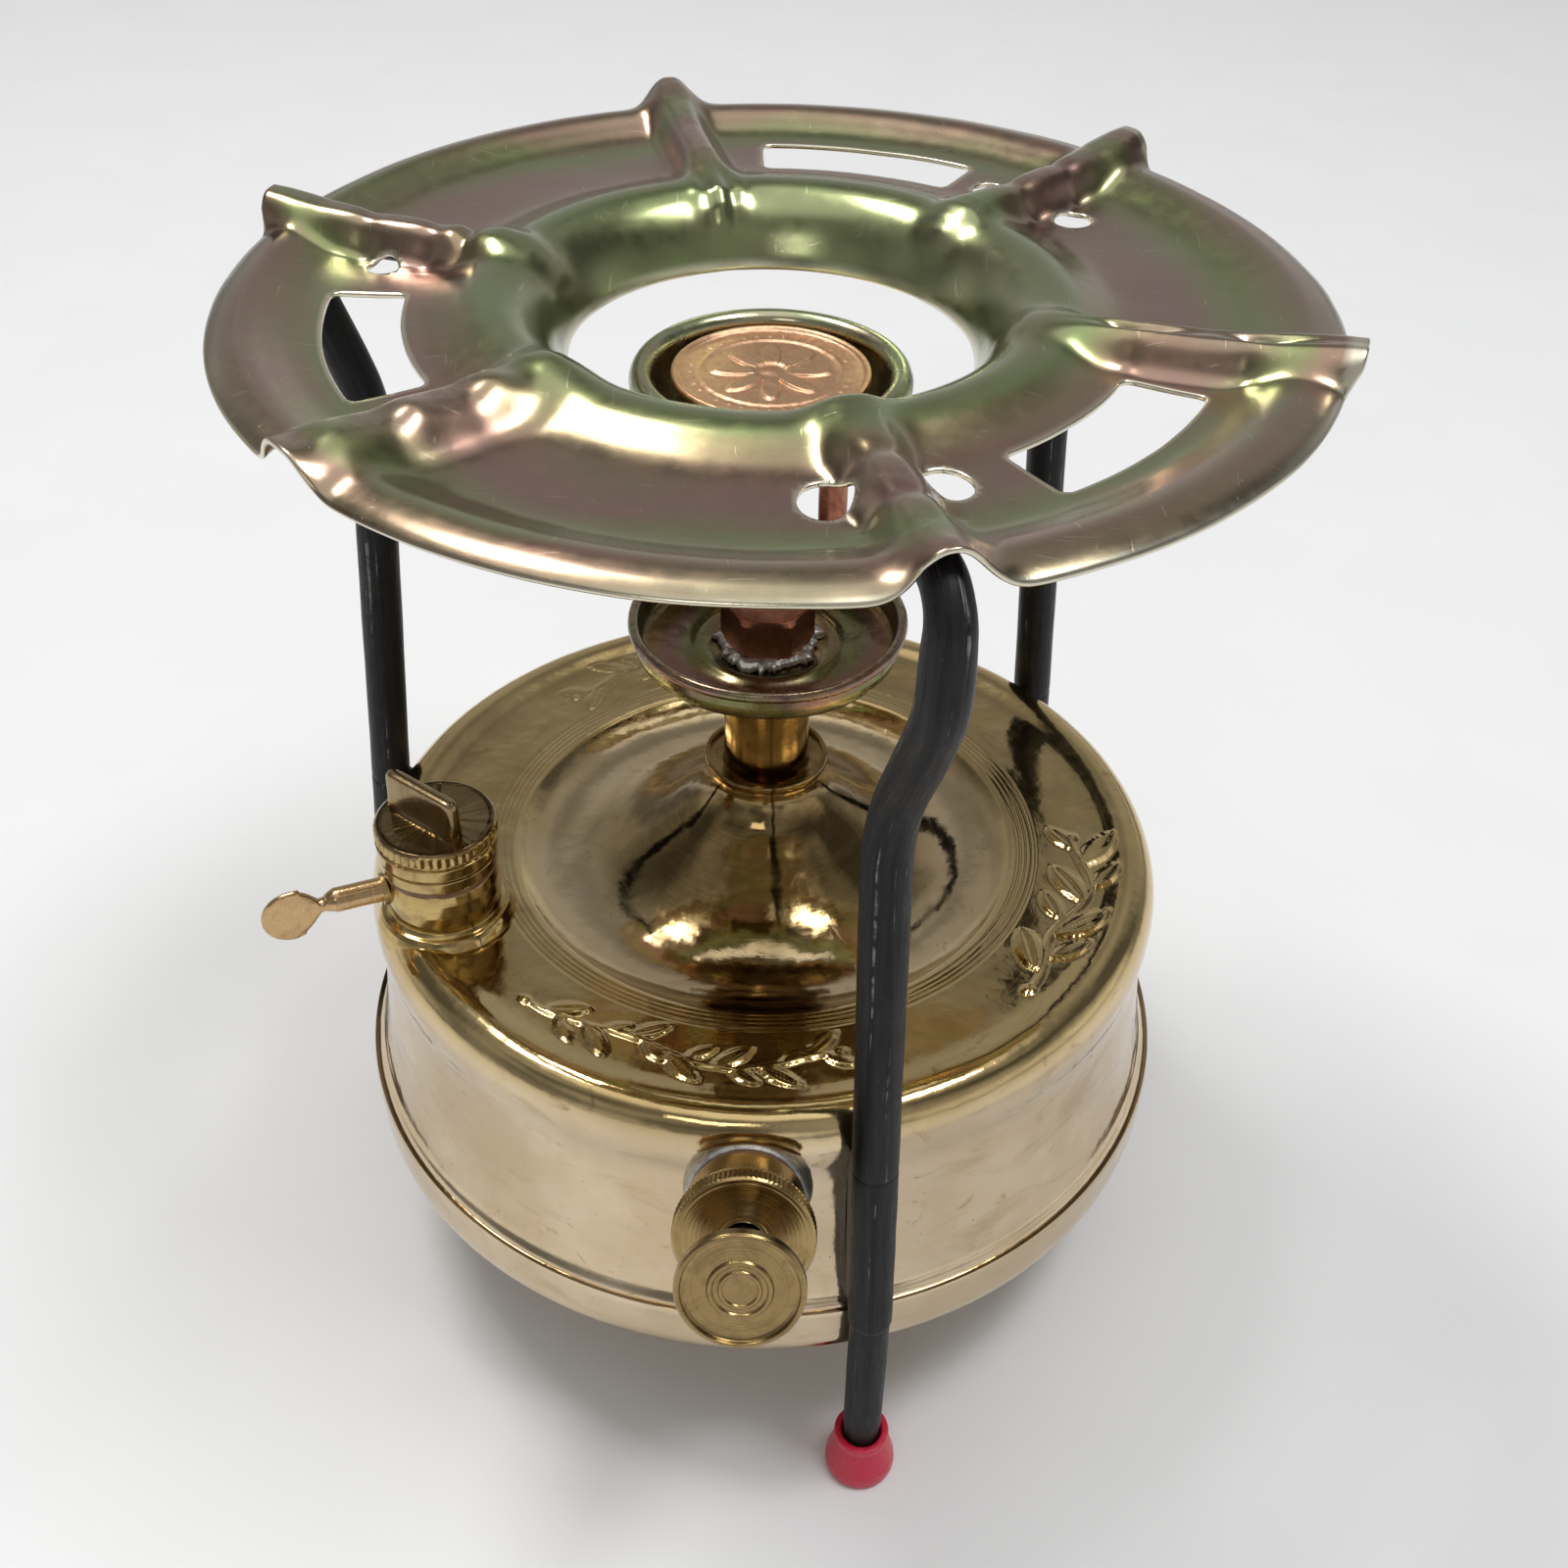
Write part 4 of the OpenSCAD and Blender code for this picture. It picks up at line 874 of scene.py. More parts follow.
    # Spreader plate: dished rim, raised rings, a rosette of rounded lobes
    def rosette(R, Z, A):
        top = (Z > 195.6)
        lob = 0.5 + 0.5 * np.cos(8 * A)
        h = 0.42 * step(2.2, 3.4, R) * step(3.4 + 7.4 * lob ** 0.6, 2.6 + 7.0 * lob ** 0.6, R)
        h += 0.34 * np.exp(-((R - 12.2) / 0.42) ** 2) + 0.30 * np.exp(-(R / 1.5) ** 2)
        dots = np.exp(-((R - 13.7) / 0.5) ** 2) * np.clip(np.cos(36 * A), 0, 1) ** 2
        h += 0.22 * dots
        P = np.stack([R * np.cos(A) * 0.8, R * np.sin(A) * 0.8, Z * 0], -1).reshape(-1, 3)
        h += 0.07 * fnoise(P, 3).reshape(A.shape) * (R < 15.6)
        return R, Z + h * top
    rim = [(15.4, 195.9), (15.9, 196.05), (16.3, 196.45), (16.7, 196.62), (17.05, 196.45), (17.2, 196.0), (17.2, 195.2), (16.9, 194.7), (16.5, 194.42)]
    P = np.vstack([np.c_[np.linspace(0, 15.3, 52), np.full(52, 195.9)], curve(rim, 0.25), [(8, 194.4), (0, 194.4)]])
    lathe("spreader_plate_skin", P, M["spread"], "spreader", "copper_bronze", (), seg=288, closed=False, fn=rosette, sharp=60)
    V, F, n = [], [], 0
    for k in range(3):
        a = (30 + 120 * k) * D2R
        c, s = math.cos(a), math.sin(a)
        box = [(x, y, z) for z in (187.3, 194.6) for x, y in ((10.2, -1.7), (11.4, -1.7), (11.4, 1.7), (10.2, 1.7))]
        V += [(x * c - y * s, x * s + y * c, z) for x, y, z in box]
        F += [tuple(i + n for i in f) for f in ((3, 2, 1, 0), (4, 5, 6, 7), (0, 1, 5, 4), (1, 2, 6, 5), (2, 3, 7, 6), (3, 0, 4, 7))]
        n += 8
    legs = put("spreader_feet", V, F, M["spread"], "spreader", "copper_bronze", (), mods=(("BEVEL", {"width": 0.00025, "segments": 3}),))
    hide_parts("spreader_plate")
    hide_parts("spreader_plate")


# --------------------------------------------------------------------- legs


def build_legs():
    lines = {
        "front": ([(FOOT_R, 2.6), (FOOT_R, 46), (79.0, 162), (92.4, 191), (92.6, 209.4), (66, 209.4)], [0, 60, 34, 22, 6.2, 0]),
        "right": ([(FOOT_R, 2.6), (FOOT_R, 46), (79.0, 162), (91.6, 190), (92.0, 209.4), (66, 209.4)], [0, 60, 34, 22, 6.2, 0]),
        "left": ([(FOOT_R, 2.6), (FOOT_R, 46), (78.0, 176), (91.8, 209.4), (66, 209.4)], [0, 60, 30, 6.2, 0]),
    }
    lean = {"front": 2.3, "right": -0.3, "left": -1.0}
    for name, az in LEG_AZ.items():
        q = bent(lines[name][0], lines[name][1], 1.3, 26)
        s = np.r_[0, np.cumsum(np.linalg.norm(np.diff(q, axis=0), axis=1))]
        rad = np.interp(s, [0, 8, 12, 43, 47, 83.6, 85.6, 150, 185, 200, 208, 215, 260], [3.42, 3.5, 3.72, 3.80, 3.86, 3.90, 4.12, 4.08, 4.0, 3.85, 3.45, 3.35, 3.3])
        a = az * D2R
        c, sn = math.cos(a), math.sin(a)

        def shape(th, l, ph=az):
            seam = np.exp(-((np.mod(th - 2.3 + np.pi, 2 * np.pi) - np.pi) / 0.10) ** 2) + 0.7 * np.exp(-((np.mod(th - 5.2 + np.pi, 2 * np.pi) - np.pi) / 0.12) ** 2)
            w = 0.008 * math.sin(l * 0.11 + ph) + 0.005 * math.sin(l * 0.31 + 2 * ph)
            return 1 - 0.016 * seam + w + 0.008 * np.cos(2 * th + l * 0.02)
        off = lean[name] * step(150, 189, q[:, 1])
        V, F, L = tube(np.c_[q[:, 0] * c - off * sn, q[:, 0] * sn + off * c, q[:, 1]], rad, 48, (-sn, c, 0), shape)
        L[:, 2] += {"front": 0, "right": 400, "left": 900}[name]
        put("leg_%s_bar" % name, V, F, M["leg"], "stove", "steel_black", ("leg_%s" % name,), loc=L, sharp=50)

        # Foot cap of soft rubber
        P = fillet([(0, 0.0, 0), (6.2, 0.0, 0.5), (6.85, 0.6, 0.6), (6.98, 1.8, 0.8), (6.85, 3.2, 0.8), (5.95, 6.4, 2.0), (5.2, 9.3, 0.8), (5.4, 9.9, 0.35),
                    (5.5, 10.6, 0.35), (5.3, 11.15, 0.3), (4.3, 11.15, 0.3), (3.8, 10.6, 0.3), (3.62, 2.55, 0), (0, 2.55, 0)], 0.4, 5)
        fn = lambda R, Z, A, ph=az: (R + 0.10 * np.sin(2 * A + ph) * (R > 4), Z + 0.12 * np.sin(2 * A + 1.3 * ph) * step(9.5, 11, Z) * 0.7)
        lathe("foot_cap_%s_skin" % name, dense(P, 0.7), M["rubber"], "stove", "rubber_red", ("foot_cap_%s" % name,), seg=72, closed=False, fn=fn,
              M4=shift(FOOT_R * c, FOOT_R * sn, 0))

    # Clips folded round the legs and brazed to the wall
    outer = [(4.14 * math.cos(t), 4.14 * math.sin(t)) for t in np.linspace(-1.95, 1.95, 36)]
    prof = [(-6.6, -3.0)] + [(-3.4, -3.35)] + outer + [(-3.4, 3.35)] + [(-6.6, 3.0)]
    prof = np.array(prof)
    zs = [0, 0.25, 0.7, 1.4] + list(np.linspace(3, 37, 18)) + [38.6, 39.3, 39.75, 40]
    Vs, Fs, Ls, n = [], [], [], 0
    for az in LEG_AZ.values():
        Mx = rot("Z", az) @ shift(FOOT_R - 0.12, 0, 47.5) @ rot("Y", -4.73)
        for i, z in enumerate(zs):
            e = min(z, 40 - z)
            k = 1 - 0.05 * (1 - min(1, e / 0.7)) ** 2
            w = 1 + 0.008 * math.sin(z * 0.5 + az)
            row = np.c_[prof[:, 0] * np.where(prof[:, 0] > -3, k * w, 1), prof[:, 1] * k * w, np.full(len(prof), z)]
            Vs.append((np.c_[row, np.ones(len(row))] @ Mx.T)[:, :3])
            Ls.append(np.c_[row[:, :2], row[:, 2] + az])
        m = len(prof)
        for i in range(len(zs) - 1):
            for j in range(m):
                j2 = (j + 1) % m
                Fs.append((n + i * m + j, n + i * m + j2, n + (i + 1) * m + j2, n + (i + 1) * m + j))
        Fs.append(tuple(n + j for j in range(m - 1, -1, -1)))
        Fs.append(tuple(n + (len(zs) - 1) * m + j for j in range(m)))
        n += len(zs) * m
    put("leg_clip_skins", np.vstack(Vs), Fs, M["leg"], "stove", "steel_black", ("leg_clips",), loc=np.vstack(Ls), sharp=45)


# ------------------------------------------------------------------- filler


def build_filler():
    def base(R, Z, A):
        w = fnoise(np.stack([np.cos(A) * 2.5, np.sin(A) * 2.5, Z * 0.3], -1).reshape(-1, 3), 3).reshape(A.shape)
        return R + 0.35 * w * step(11.6, 12.6, R), Z + 0.10 * w * step(11.6, 12.6, R)
    P = fillet([(7.55, 86.5, 0), (9.0, 86.5, 0), (9.0, 90.0, 0), (13.6, 90.0, 0), (13.3, 92.9, 0.5), (12.7, 94.2, 0.6), (12.2, 94.9, 0.5), (11.4, 95.1, 0.4),
                (10.6, 95.7, 0.5), (10.85, 97.4, 1.0), (11.15, 100.0, 2.0), (10.95, 102.8, 1.0), (10.5, 104.6, 0.3), (10.1, 105.0, 0.2), (7.55, 105.0, 0)], 0.3, 5, True)
    P = dense(np.vstack([P, P[:1]]), 1.0)[:-1]
    lathe("filler_neck_skin", P, M["fit"], "stove", "brass_aged", ("filler_neck",), seg=160, M4=FILLER, fn=base)

    # Screw cap: crinkled grip band between two turned rings
    def crinkle(R, Z, A):
        band = step(112.7, 113.1, Z) * step(115.5, 115.0, Z) * (R > 10.4)
        t = np.abs(np.mod(A * 44 / (2 * np.pi), 1) - 0.5) * 2
        w = fnoise(np.stack([np.cos(A) * 8, np.sin(A) * 8, Z * 0.5], -1).reshape(-1, 3), 2).reshape(A.shape)
        return R - (0.42 * t ** 1.5 + 0.20 * np.abs(w)) * band, Z + 0.04 * w * (Z > 115)
    P = fillet([(0, 106.4, 0), (5.2, 106.4, 0), (5.2, 102.2, 0), (7.5, 102.2, 0), (7.5, 106.2, 0), (10.9, 106.2, 0.3), (11.35, 106.7, 0.4), (11.4, 109.0, 0.3),
                (10.95, 109.2, 0.12), (10.95, 109.6, 0.12), (11.6, 109.8, 0.25), (11.62, 112.2, 0.25), (11.05, 112.4, 0.12), (11.05, 112.8, 0.12), (11.6, 113.0, 0.2),
                (11.6, 115.3, 0.4), (10.9, 115.95, 0.35), (10.0, 115.8, 0.3), (0, 115.6, 0)], 0.2, 5)
    lathe("filler_cap_skin", dense(P, 0.5), M["cap"], "filler_cap", "brass_aged", ("filler_cap",), seg=352, closed=False, M4=FILLER, fn=crinkle)

    # Grip bar: flat top, wedge that swells into the cap
    Mx = FILLER @ rot("Z", 158.4 - 36.5) @ shift(-1.4, -1.2, 0)
    xs = np.linspace(-9.0, 9.0, 61)
    zs = [114.4, 115.6, 116.2, 117.2, 118.6, 120.2, 121.8, 122.7, 123.25, 123.5]
    hw = [2.6, 2.3, 1.9, 1.6, 1.45, 1.38, 1.34, 1.32, 1.24, 1.02]
    V, F = [], []
    for z, h in zip(zs, hw):
        e = 8.98 - (0.5 if z > 123.3 else 0.22 if z > 123.0 else 0.0) - (0.35 * max(0, z - 121.5) / 2)
        base_in = 0.9 if z < 116 else 0.25
        for sgn, order in ((-1, xs), (1, xs[::-1])):
            for x in order:
                t = x / 9.0
                round_ = math.sqrt(max(0.0, 1 - abs(t) ** (14 if z > 116 else 4)))
                xx = t * (e - base_in * 0.3)
                V.append((xx, sgn * h * max(round_, 0.15), z))
    m = 2 * len(xs)
    for i in range(len(zs) - 1):
        for j in range(m):
            j2 = (j + 1) % m
            F.append((i * m + j, i * m + j2, (i + 1) * m + j2, (i + 1) * m + j))
    k = len(xs)
    for base_row in (0, (len(zs) - 1) * m):
        for j in range(k - 1):
            F.append((base_row + j, base_row + j + 1, base_row + m - 2 - j, base_row + m - 1 - j))
    put("cap_grip_skin", V, F, M["grip"], "filler_cap", "brass_aged", ("cap_grip",), M4=Mx, sharp=50)

    # Air release screw: spindle, neck and hammered paddle. x is down, z is out
    ss = np.r_[np.linspace(7.8, 9.4, 5), np.linspace(10, 20.4, 16), np.linspace(20.8, 24.2, 12), np.linspace(24.5, 33.9, 34), np.array([34.1, 34.3, 34.45, 34.55, 34.6])]
    sides = 40
    th = np.linspace(0, 2 * np.pi, sides, endpoint=False)
    V, F, L = [], [], []
    for s in ss:
        body = np.interp(s, [7.8, 9.4, 9.9, 20.6, 22.2, 23.6, 25.2], [0.8, 2.2, 2.4, 2.4, 1.75, 1.3, 1.1])
        disc = math.sqrt(max(0.0, 5.75 ** 2 - (s - 28.9) ** 2))
        fan = np.interp(s, [22.6, 23.6, 25.2, 27.0], [0, 1.3, 3.4, 5.0])
        if s < 22.6:
            w = body
        else:
            w = max(min(body, 1.3), min(max(disc, 0.02), max(fan, 0.02)))
            if s > 27:
                w = max(disc, 0.02)
        t = np.interp(s, [22.0, 23.6, 25.0, 27.5, 32.0, 34.0, 34.6], [min(body, 2.4), 1.25, 1.05, 0.85, 0.75, 0.55, 0.2])
        if s < 22.0:
            t = body
        cx = np.interp(s, [21.5, 24.0, 28.9, 35], [0, 0.6, 1.4, 1.5])
        p = np.interp(s, [22, 25], [2.0, 3.2])
        ct, st = np.cos(th), np.sin(th)
        x = cx + w * np.sign(ct) * np.abs(ct) ** (2 / p)
        y = t * np.sign(st) * np.abs(st) ** (2 / p)
        V.append(np.c_[x, y, np.full(sides, s)])
    V = np.vstack(V)
    pd = step(24.5, 26.5, V[:, 2])
    dent = fnoise(np.c_[V[:, 0] * 0.75, V[:, 2] * 0.75, np.sign(V[:, 1]) * 5], 2)
    V[:, 1] += np.sign(V[:, 1]) * 0.22 * dent * pd * np.minimum(1, np.abs(V[:, 1]) / 0.5)
    nr = len(ss)
    F = [(i * sides + k, i * sides + (k + 1) % sides, (i + 1) * sides + (k + 1) % sides, (i + 1) * sides + k) for i in range(nr - 1) for k in range(sides)]
    F.append(tuple(range(sides - 1, -1, -1)))
    F.append(tuple((nr - 1) * sides + k for k in range(sides)))
    put("air_screw_skin", V, F, M["screw"], "air_screw", "brass_turned", ("air_screw",), M4=AIR, sharp=50)


# --------------------------------------------------------------------- pump


def build_pump():
    def blob(R, Z, A):
        w = fnoise(np.stack([np.cos(A) * 2.2, np.sin(A) * 2.2, Z * 0.25], -1).reshape(-1, 3), 3).reshape(A.shape)
        out = step(10.2, 10.9, R)
        return R + (0.08 + 0.22 * step(3.4, 0.5, Z)) * w * out, Z + 0.10 * w * out * step(5.2, 4.0, Z)
    P = fillet([(9.25, -4, 0), (11.5, -4, 0), (11.5, -1.0, 1.0), (11.3, 1.2, 1.5), (11.1, 3.0, 0.8), (10.95, 4.5, 0.3), (10.5, 5.0, 0.3), (9.25, 5.0, 0)], 0.3, 6, True)
    lathe("pump_flange_skin", dense(np.vstack([P, P[:1]]), 0.6)[:-1], M["solder"], "stove", "solder", ("pump_flange",), seg=144, M4=PUMP, fn=blob, sharp=60)

    def knurl(R, Z, A):
        band = step(13.75, 14.05, Z) * step(17.0, 16.7, Z) * (R > 12.0)
        t = np.abs(np.mod(A * 88 / (2 * np.pi), 1) - 0.5) * 2
        return R - 0.46 * t * band, Z
    P = fillet([(9.26, 6.2, 0), (10.3, 6.2, 0.3), (10.7, 6.6, 0.3), (10.7, 13.5, 0.3), (11.9, 13.6, 0.2), (12.4, 13.9, 0.2), (12.4, 16.85, 0.2), (11.8, 17.4, 0.3),
                (11.2, 17.4, 0.2), (10.9, 17.15, 0.2), (4.4, 17.15, 0.3), (4.1, 17.3, 0.15), (3.45, 17.3, 0.3), (3.4, 14.6, 0), (9.26, 14.6, 0)], 0.25, 5, True)
    lathe("pump_cap_skin", dense(np.vstack([P, P[:1]]), 0.6)[:-1], M["turned"], "pump_cap", "brass_turned", ("pump_cap",), seg=704, M4=PUMP, fn=knurl, sharp=35,
          )
    P = fillet([(0, 29.2, 0), (1.8, 29.2, 0), (1.8, 25.5, 0), (3.4, 25.5, 0.4), (3.8, 26.6, 0.8), (4.4, 28.9, 0.8), (8.0, 29.7, 0.6), (10.4, 29.85, 0.3), (10.9, 30.3, 0.3),
                (10.9, 31.8, 0.25), (10.55, 32.2, 0.2), (9.95, 32.2, 0.2), (9.7, 31.55, 0.25), (9.2, 31.4, 0.3), (5.6, 31.4, 0.25), (5.35, 31.85, 0.2), (4.7, 31.85, 0.2),
                (4.45, 31.5, 0.2), (3.7, 31.5, 0.2), (3.5, 31.8, 0.15), (3.0, 31.8, 0.15), (2.8, 31.5, 0.15), (0, 31.45, 0)], 0.25, 5)
    lathe("pump_knob_skin", dense(P, 0.6), M["knob"], "plunger", "brass_turned", ("pump_knob",), seg=160, closed=False, M4=PUMP, sharp=35)
    P = fillet([(0, -55.2), (1.6, -55.2), (1.6, -44.8), (2.6, -44.8), (2.6, 25.5), (1.8, 25.5, 0), (1.8, 29.2, 0), (0, 29.2)], 0.2, 3)
    lathe("pump_rod_skin", dense(P, 3.0), mat_steel("rod_steel", src="attr"), "plunger", "steel_bright", ("pump_rod",), seg=64, closed=False, M4=PUMP)


# ----------------------------------------------------------------- pot ring

RIBS = [  # direction, leg rib, tip crest, width
    dict(az=-75.0, leg=True, w=5.3, tip=216.2, inner=213.6, ext=-1.9),
    dict(az=-16.8, leg=False, w=4.9, tip=216.2, inner=213.0, ext=1.7),
    dict(az=43.3, leg=True, w=4.9, tip=216.2, inner=213.8, ext=1.6),
    dict(az=103.6, leg=False, w=4.6, tip=216.2, inner=212.6, ext=0.3),
    dict(az=162.8, leg=True, w=4.8, tip=216.2, inner=213.4, ext=1.2),
    dict(az=-137.4, leg=False, w=5.6, tip=215.6, inner=213.6, ext=0.4),
]
RING = [
    [34.35, 199.6], [34.9, 201.2], [35.8, 203.0], [37.4, 205.7], [39.4, 208.3], [41.8, 210.4], [44.4, 211.6], [47.0, 211.9], [49.8, 211.4],
    [53.0, 210.1], [56.6, 208.9], [60.0, 208.4], [75.6, 208.5], [78.6, 209.0], [81.6, 210.2], [84.6, 211.4], [87.0, 211.8],
    [89.2, 211.5], [90.6, 211.15], [91.8, 210.6], [92.9, 209.9],
]
WINDOWS = [(194.6, 16.0, 60.8, 73.7), (75.2, 16.7, 61.2, 73.8), (-40.4, 15.6, 60.4, 74.4)]
HOLES = [  # radius of place, direction, half size along the radius, half size across
    (64.8, -83.2, 5.2, 4.1), (64.2, -66.9, 4.6, 4.0),
    (68.0, 169.6, 2.9, 2.7), (66.5, 156.3, 3.4, 3.0),
    (66.6, 34.6, 3.7, 3.4), (66.0, 52.2, 3.4, 3.0),
]


def wrap(a):
    return np.mod(a + 180.0, 360.0) - 180.0


def ring_height(T, R, Z, AZ):
    """Raises the six ribs on the turned profile. Returns place and wear."""
    R, Z = R.copy(), Z.copy()
    wear = np.zeros_like(R)
    rim = step(86.5, 91.5, R)
    edge_out = 1 - step(0, 9.0, 93.6 - R)
    grow = np.zeros_like(R)
    near = np.zeros_like(R)
    base_R = R.copy()
    for k, rb in enumerate(RIBS):
        d = base_R * np.sin(np.clip(wrap(AZ - rb["az"]), -60, 60) * D2R)
        crest = np.interp(base_R, [34.3, 36.5, 38.2, 40.0, 42.5, 45.5, 49, 58, 70, 82, 90, 94],
                          [199.6, 204.0, 207.6, 210.3, 212.3, rb["inner"], rb["inner"] + 0.3, 213.9, 214.0, 214.8, rb["tip"] - 0.3, rb["tip"]])
        w = np.interp(base_R, [34, 39, 44, 50, 60, 66, 72, 80, 88, 94], [2.4, 4.0, 5.3, 5.2, 5.1, 5.1, 5.1, 5.1, 5.1, 5.1]) * rb["w"] / 5.1
        p = np.interp(base_R, [38, 50, 85, 94], [2.2, 2.9, 3.3, 3.5])
        if rb["leg"]:
            w = w * (1 - 0.12 * np.exp(-((base_R - 61) / 3.0) ** 2) - 0.10 * np.exp(-((base_R - 72.5) / 2.6) ** 2))
            crest = crest - 0.5 * np.exp(-((base_R - 60.5) / 2.4) ** 2) - 0.4 * np.exp(-((base_R - 73) / 2.2) ** 2)
        if k == 1:  # this rib is pinched into two parallel ridges
            mid = np.exp(-((d - 0.3) / 1.15) ** 2) * step(48, 56, base_R) * (0.45 + 0.30 * np.sin(base_R * 0.33) + 0.45 * np.exp(-((base_R - 58) / 2.5) ** 2) + 0.5 * np.exp(-((base_R - 79) / 2.4) ** 2))
            crest = crest - 1.9 * np.clip(mid, 0, 1)
            w = w * (1 + 0.10 * step(50, 60, base_R)) * (1 - 0.12 * np.exp(-((base_R - 60) / 2) ** 2) - 0.10 * np.exp(-((base_R - 78) / 2) ** 2))
        if k == 3:  # three creases over the inner slope, a taller pointed tip
            cr = np.cos(d / 2.35 * np.pi)
            crest = crest - 0.75 * (0.5 - 0.5 * cr) * step(34.5, 38, base_R) * step(54, 46, base_R)
            w = w * (1 + 0.16 * step(80, 92, base_R))
            p = p - 0.9 * step(80, 92, base_R)
        if k == 4:
            crest = crest - 1.0 * np.exp(-((base_R - 54.5) / 1.6) ** 2) + 0.5 * np.exp(-((base_R - 49) / 3) ** 2)
        if k == 5:  # soft hammered lumps along a broad ridge
            for rc, hgt in ((46.5, 0.7), (57.5, 0.7), (71, 0.9), (84, 0.4)):
                crest = crest + hgt * np.exp(-((base_R - rc) / 2.8) ** 2 - ((d - 1.5) / 3.5) ** 2) - 0.35 * np.exp(-((base_R - rc - 5.5) / 2.4) ** 2)
            w = w * np.where(d > 0, 1.35, 0.95)
        if k == 0:
            crest = crest + 0.8 * np.exp(-((base_R - 45) / 3.2) ** 2)
            w = w * np.where(d < 0, 1.06, 1.0) * (1 + 0.10 * step(80, 92, base_R))
            p = p - 1.1 * step(78, 90, base_R)
        bell = np.exp(-(np.abs(d) / np.maximum(w, 0.5)) ** p)
        up = np.maximum(crest - Z, 0) * bell
        Z = Z + up
        grow = grow + np.clip(bell * 1.6, 0, 1) * rb["ext"] * step(84, 92.9, base_R)
        near = np.maximum(near, np.exp(-(d / 8.0) ** 4))
        wear = np.maximum(wear, np.clip(bell - 0.85, 0, 1) * 6 * step(50, 62, base_R) * 0.5)
        # dents beside the ribs
        for rc, sd in ((61, 1), (72.5, 1), (61, -1), (72.5, -1)):
            if rb["leg"]:
                Z = Z - 0.45 * np.exp(-((base_R - rc) / 2.2) ** 2 - ((d - sd * 6.4) / 1.8) ** 2)
    R = R + grow + (1.4 * np.cos((AZ + 40) * D2R) - 0.6) * step(82, 92, base_R)
    lump = 0.8 * fnoise(np.stack([R * np.cos(AZ * D2R) / 16, R * np.sin(AZ * D2R) / 16, Z * 0], -1).reshape(-1, 3), 3).reshape(R.shape)
    Z = Z + 0.16 * lump * step(35, 40, R)
    rimw = fnoise(np.stack([np.cos(AZ * D2R) * 4, np.sin(AZ * D2R) * 4, Z * 0 + 9], -1).reshape(-1, 3), 2).reshape(R.shape)
    R = R + 0.22 * rimw * step(86, 93, base_R) * (1 - near)
    return R, Z, np.maximum(wear, 0), rim


def cut_shape(X, Y):
    """Distance to the nearest cut: above zero is metal."""
    R, A = np.hypot(X, Y), np.degrees(np.arctan2(Y, X))
    s = np.full(X.shape, 1e3)
    for azc, half, ri, ro in WINDOWS:
        dA = np.abs(wrap(A - azc))
        side = np.where(dA < 80, R * np.sin(np.clip(half - dA, -80, 80) * D2R), -50)
        rad = np.minimum(R - ri, ro - R)
        c = 1.7
        u, v = c - side, c - rad
        ins = np.where((u > 0) & (v > 0), c - np.hypot(u, v), np.minimum(side, rad))
        s = np.minimum(s, -ins)
    for rc, az, ar, at in HOLES:
        cx, cy = rc * math.cos(az * D2R), rc * math.sin(az * D2R)
        c, n = math.cos(az * D2R), math.sin(az * D2R)
        u = (X - cx) * c + (Y - cy) * n
        v = -(X - cx) * n + (Y - cy) * c
        q = np.hypot(u / ar, v / at)
        s = np.minimum(s, (q - 1) * min(ar, at))
    return s


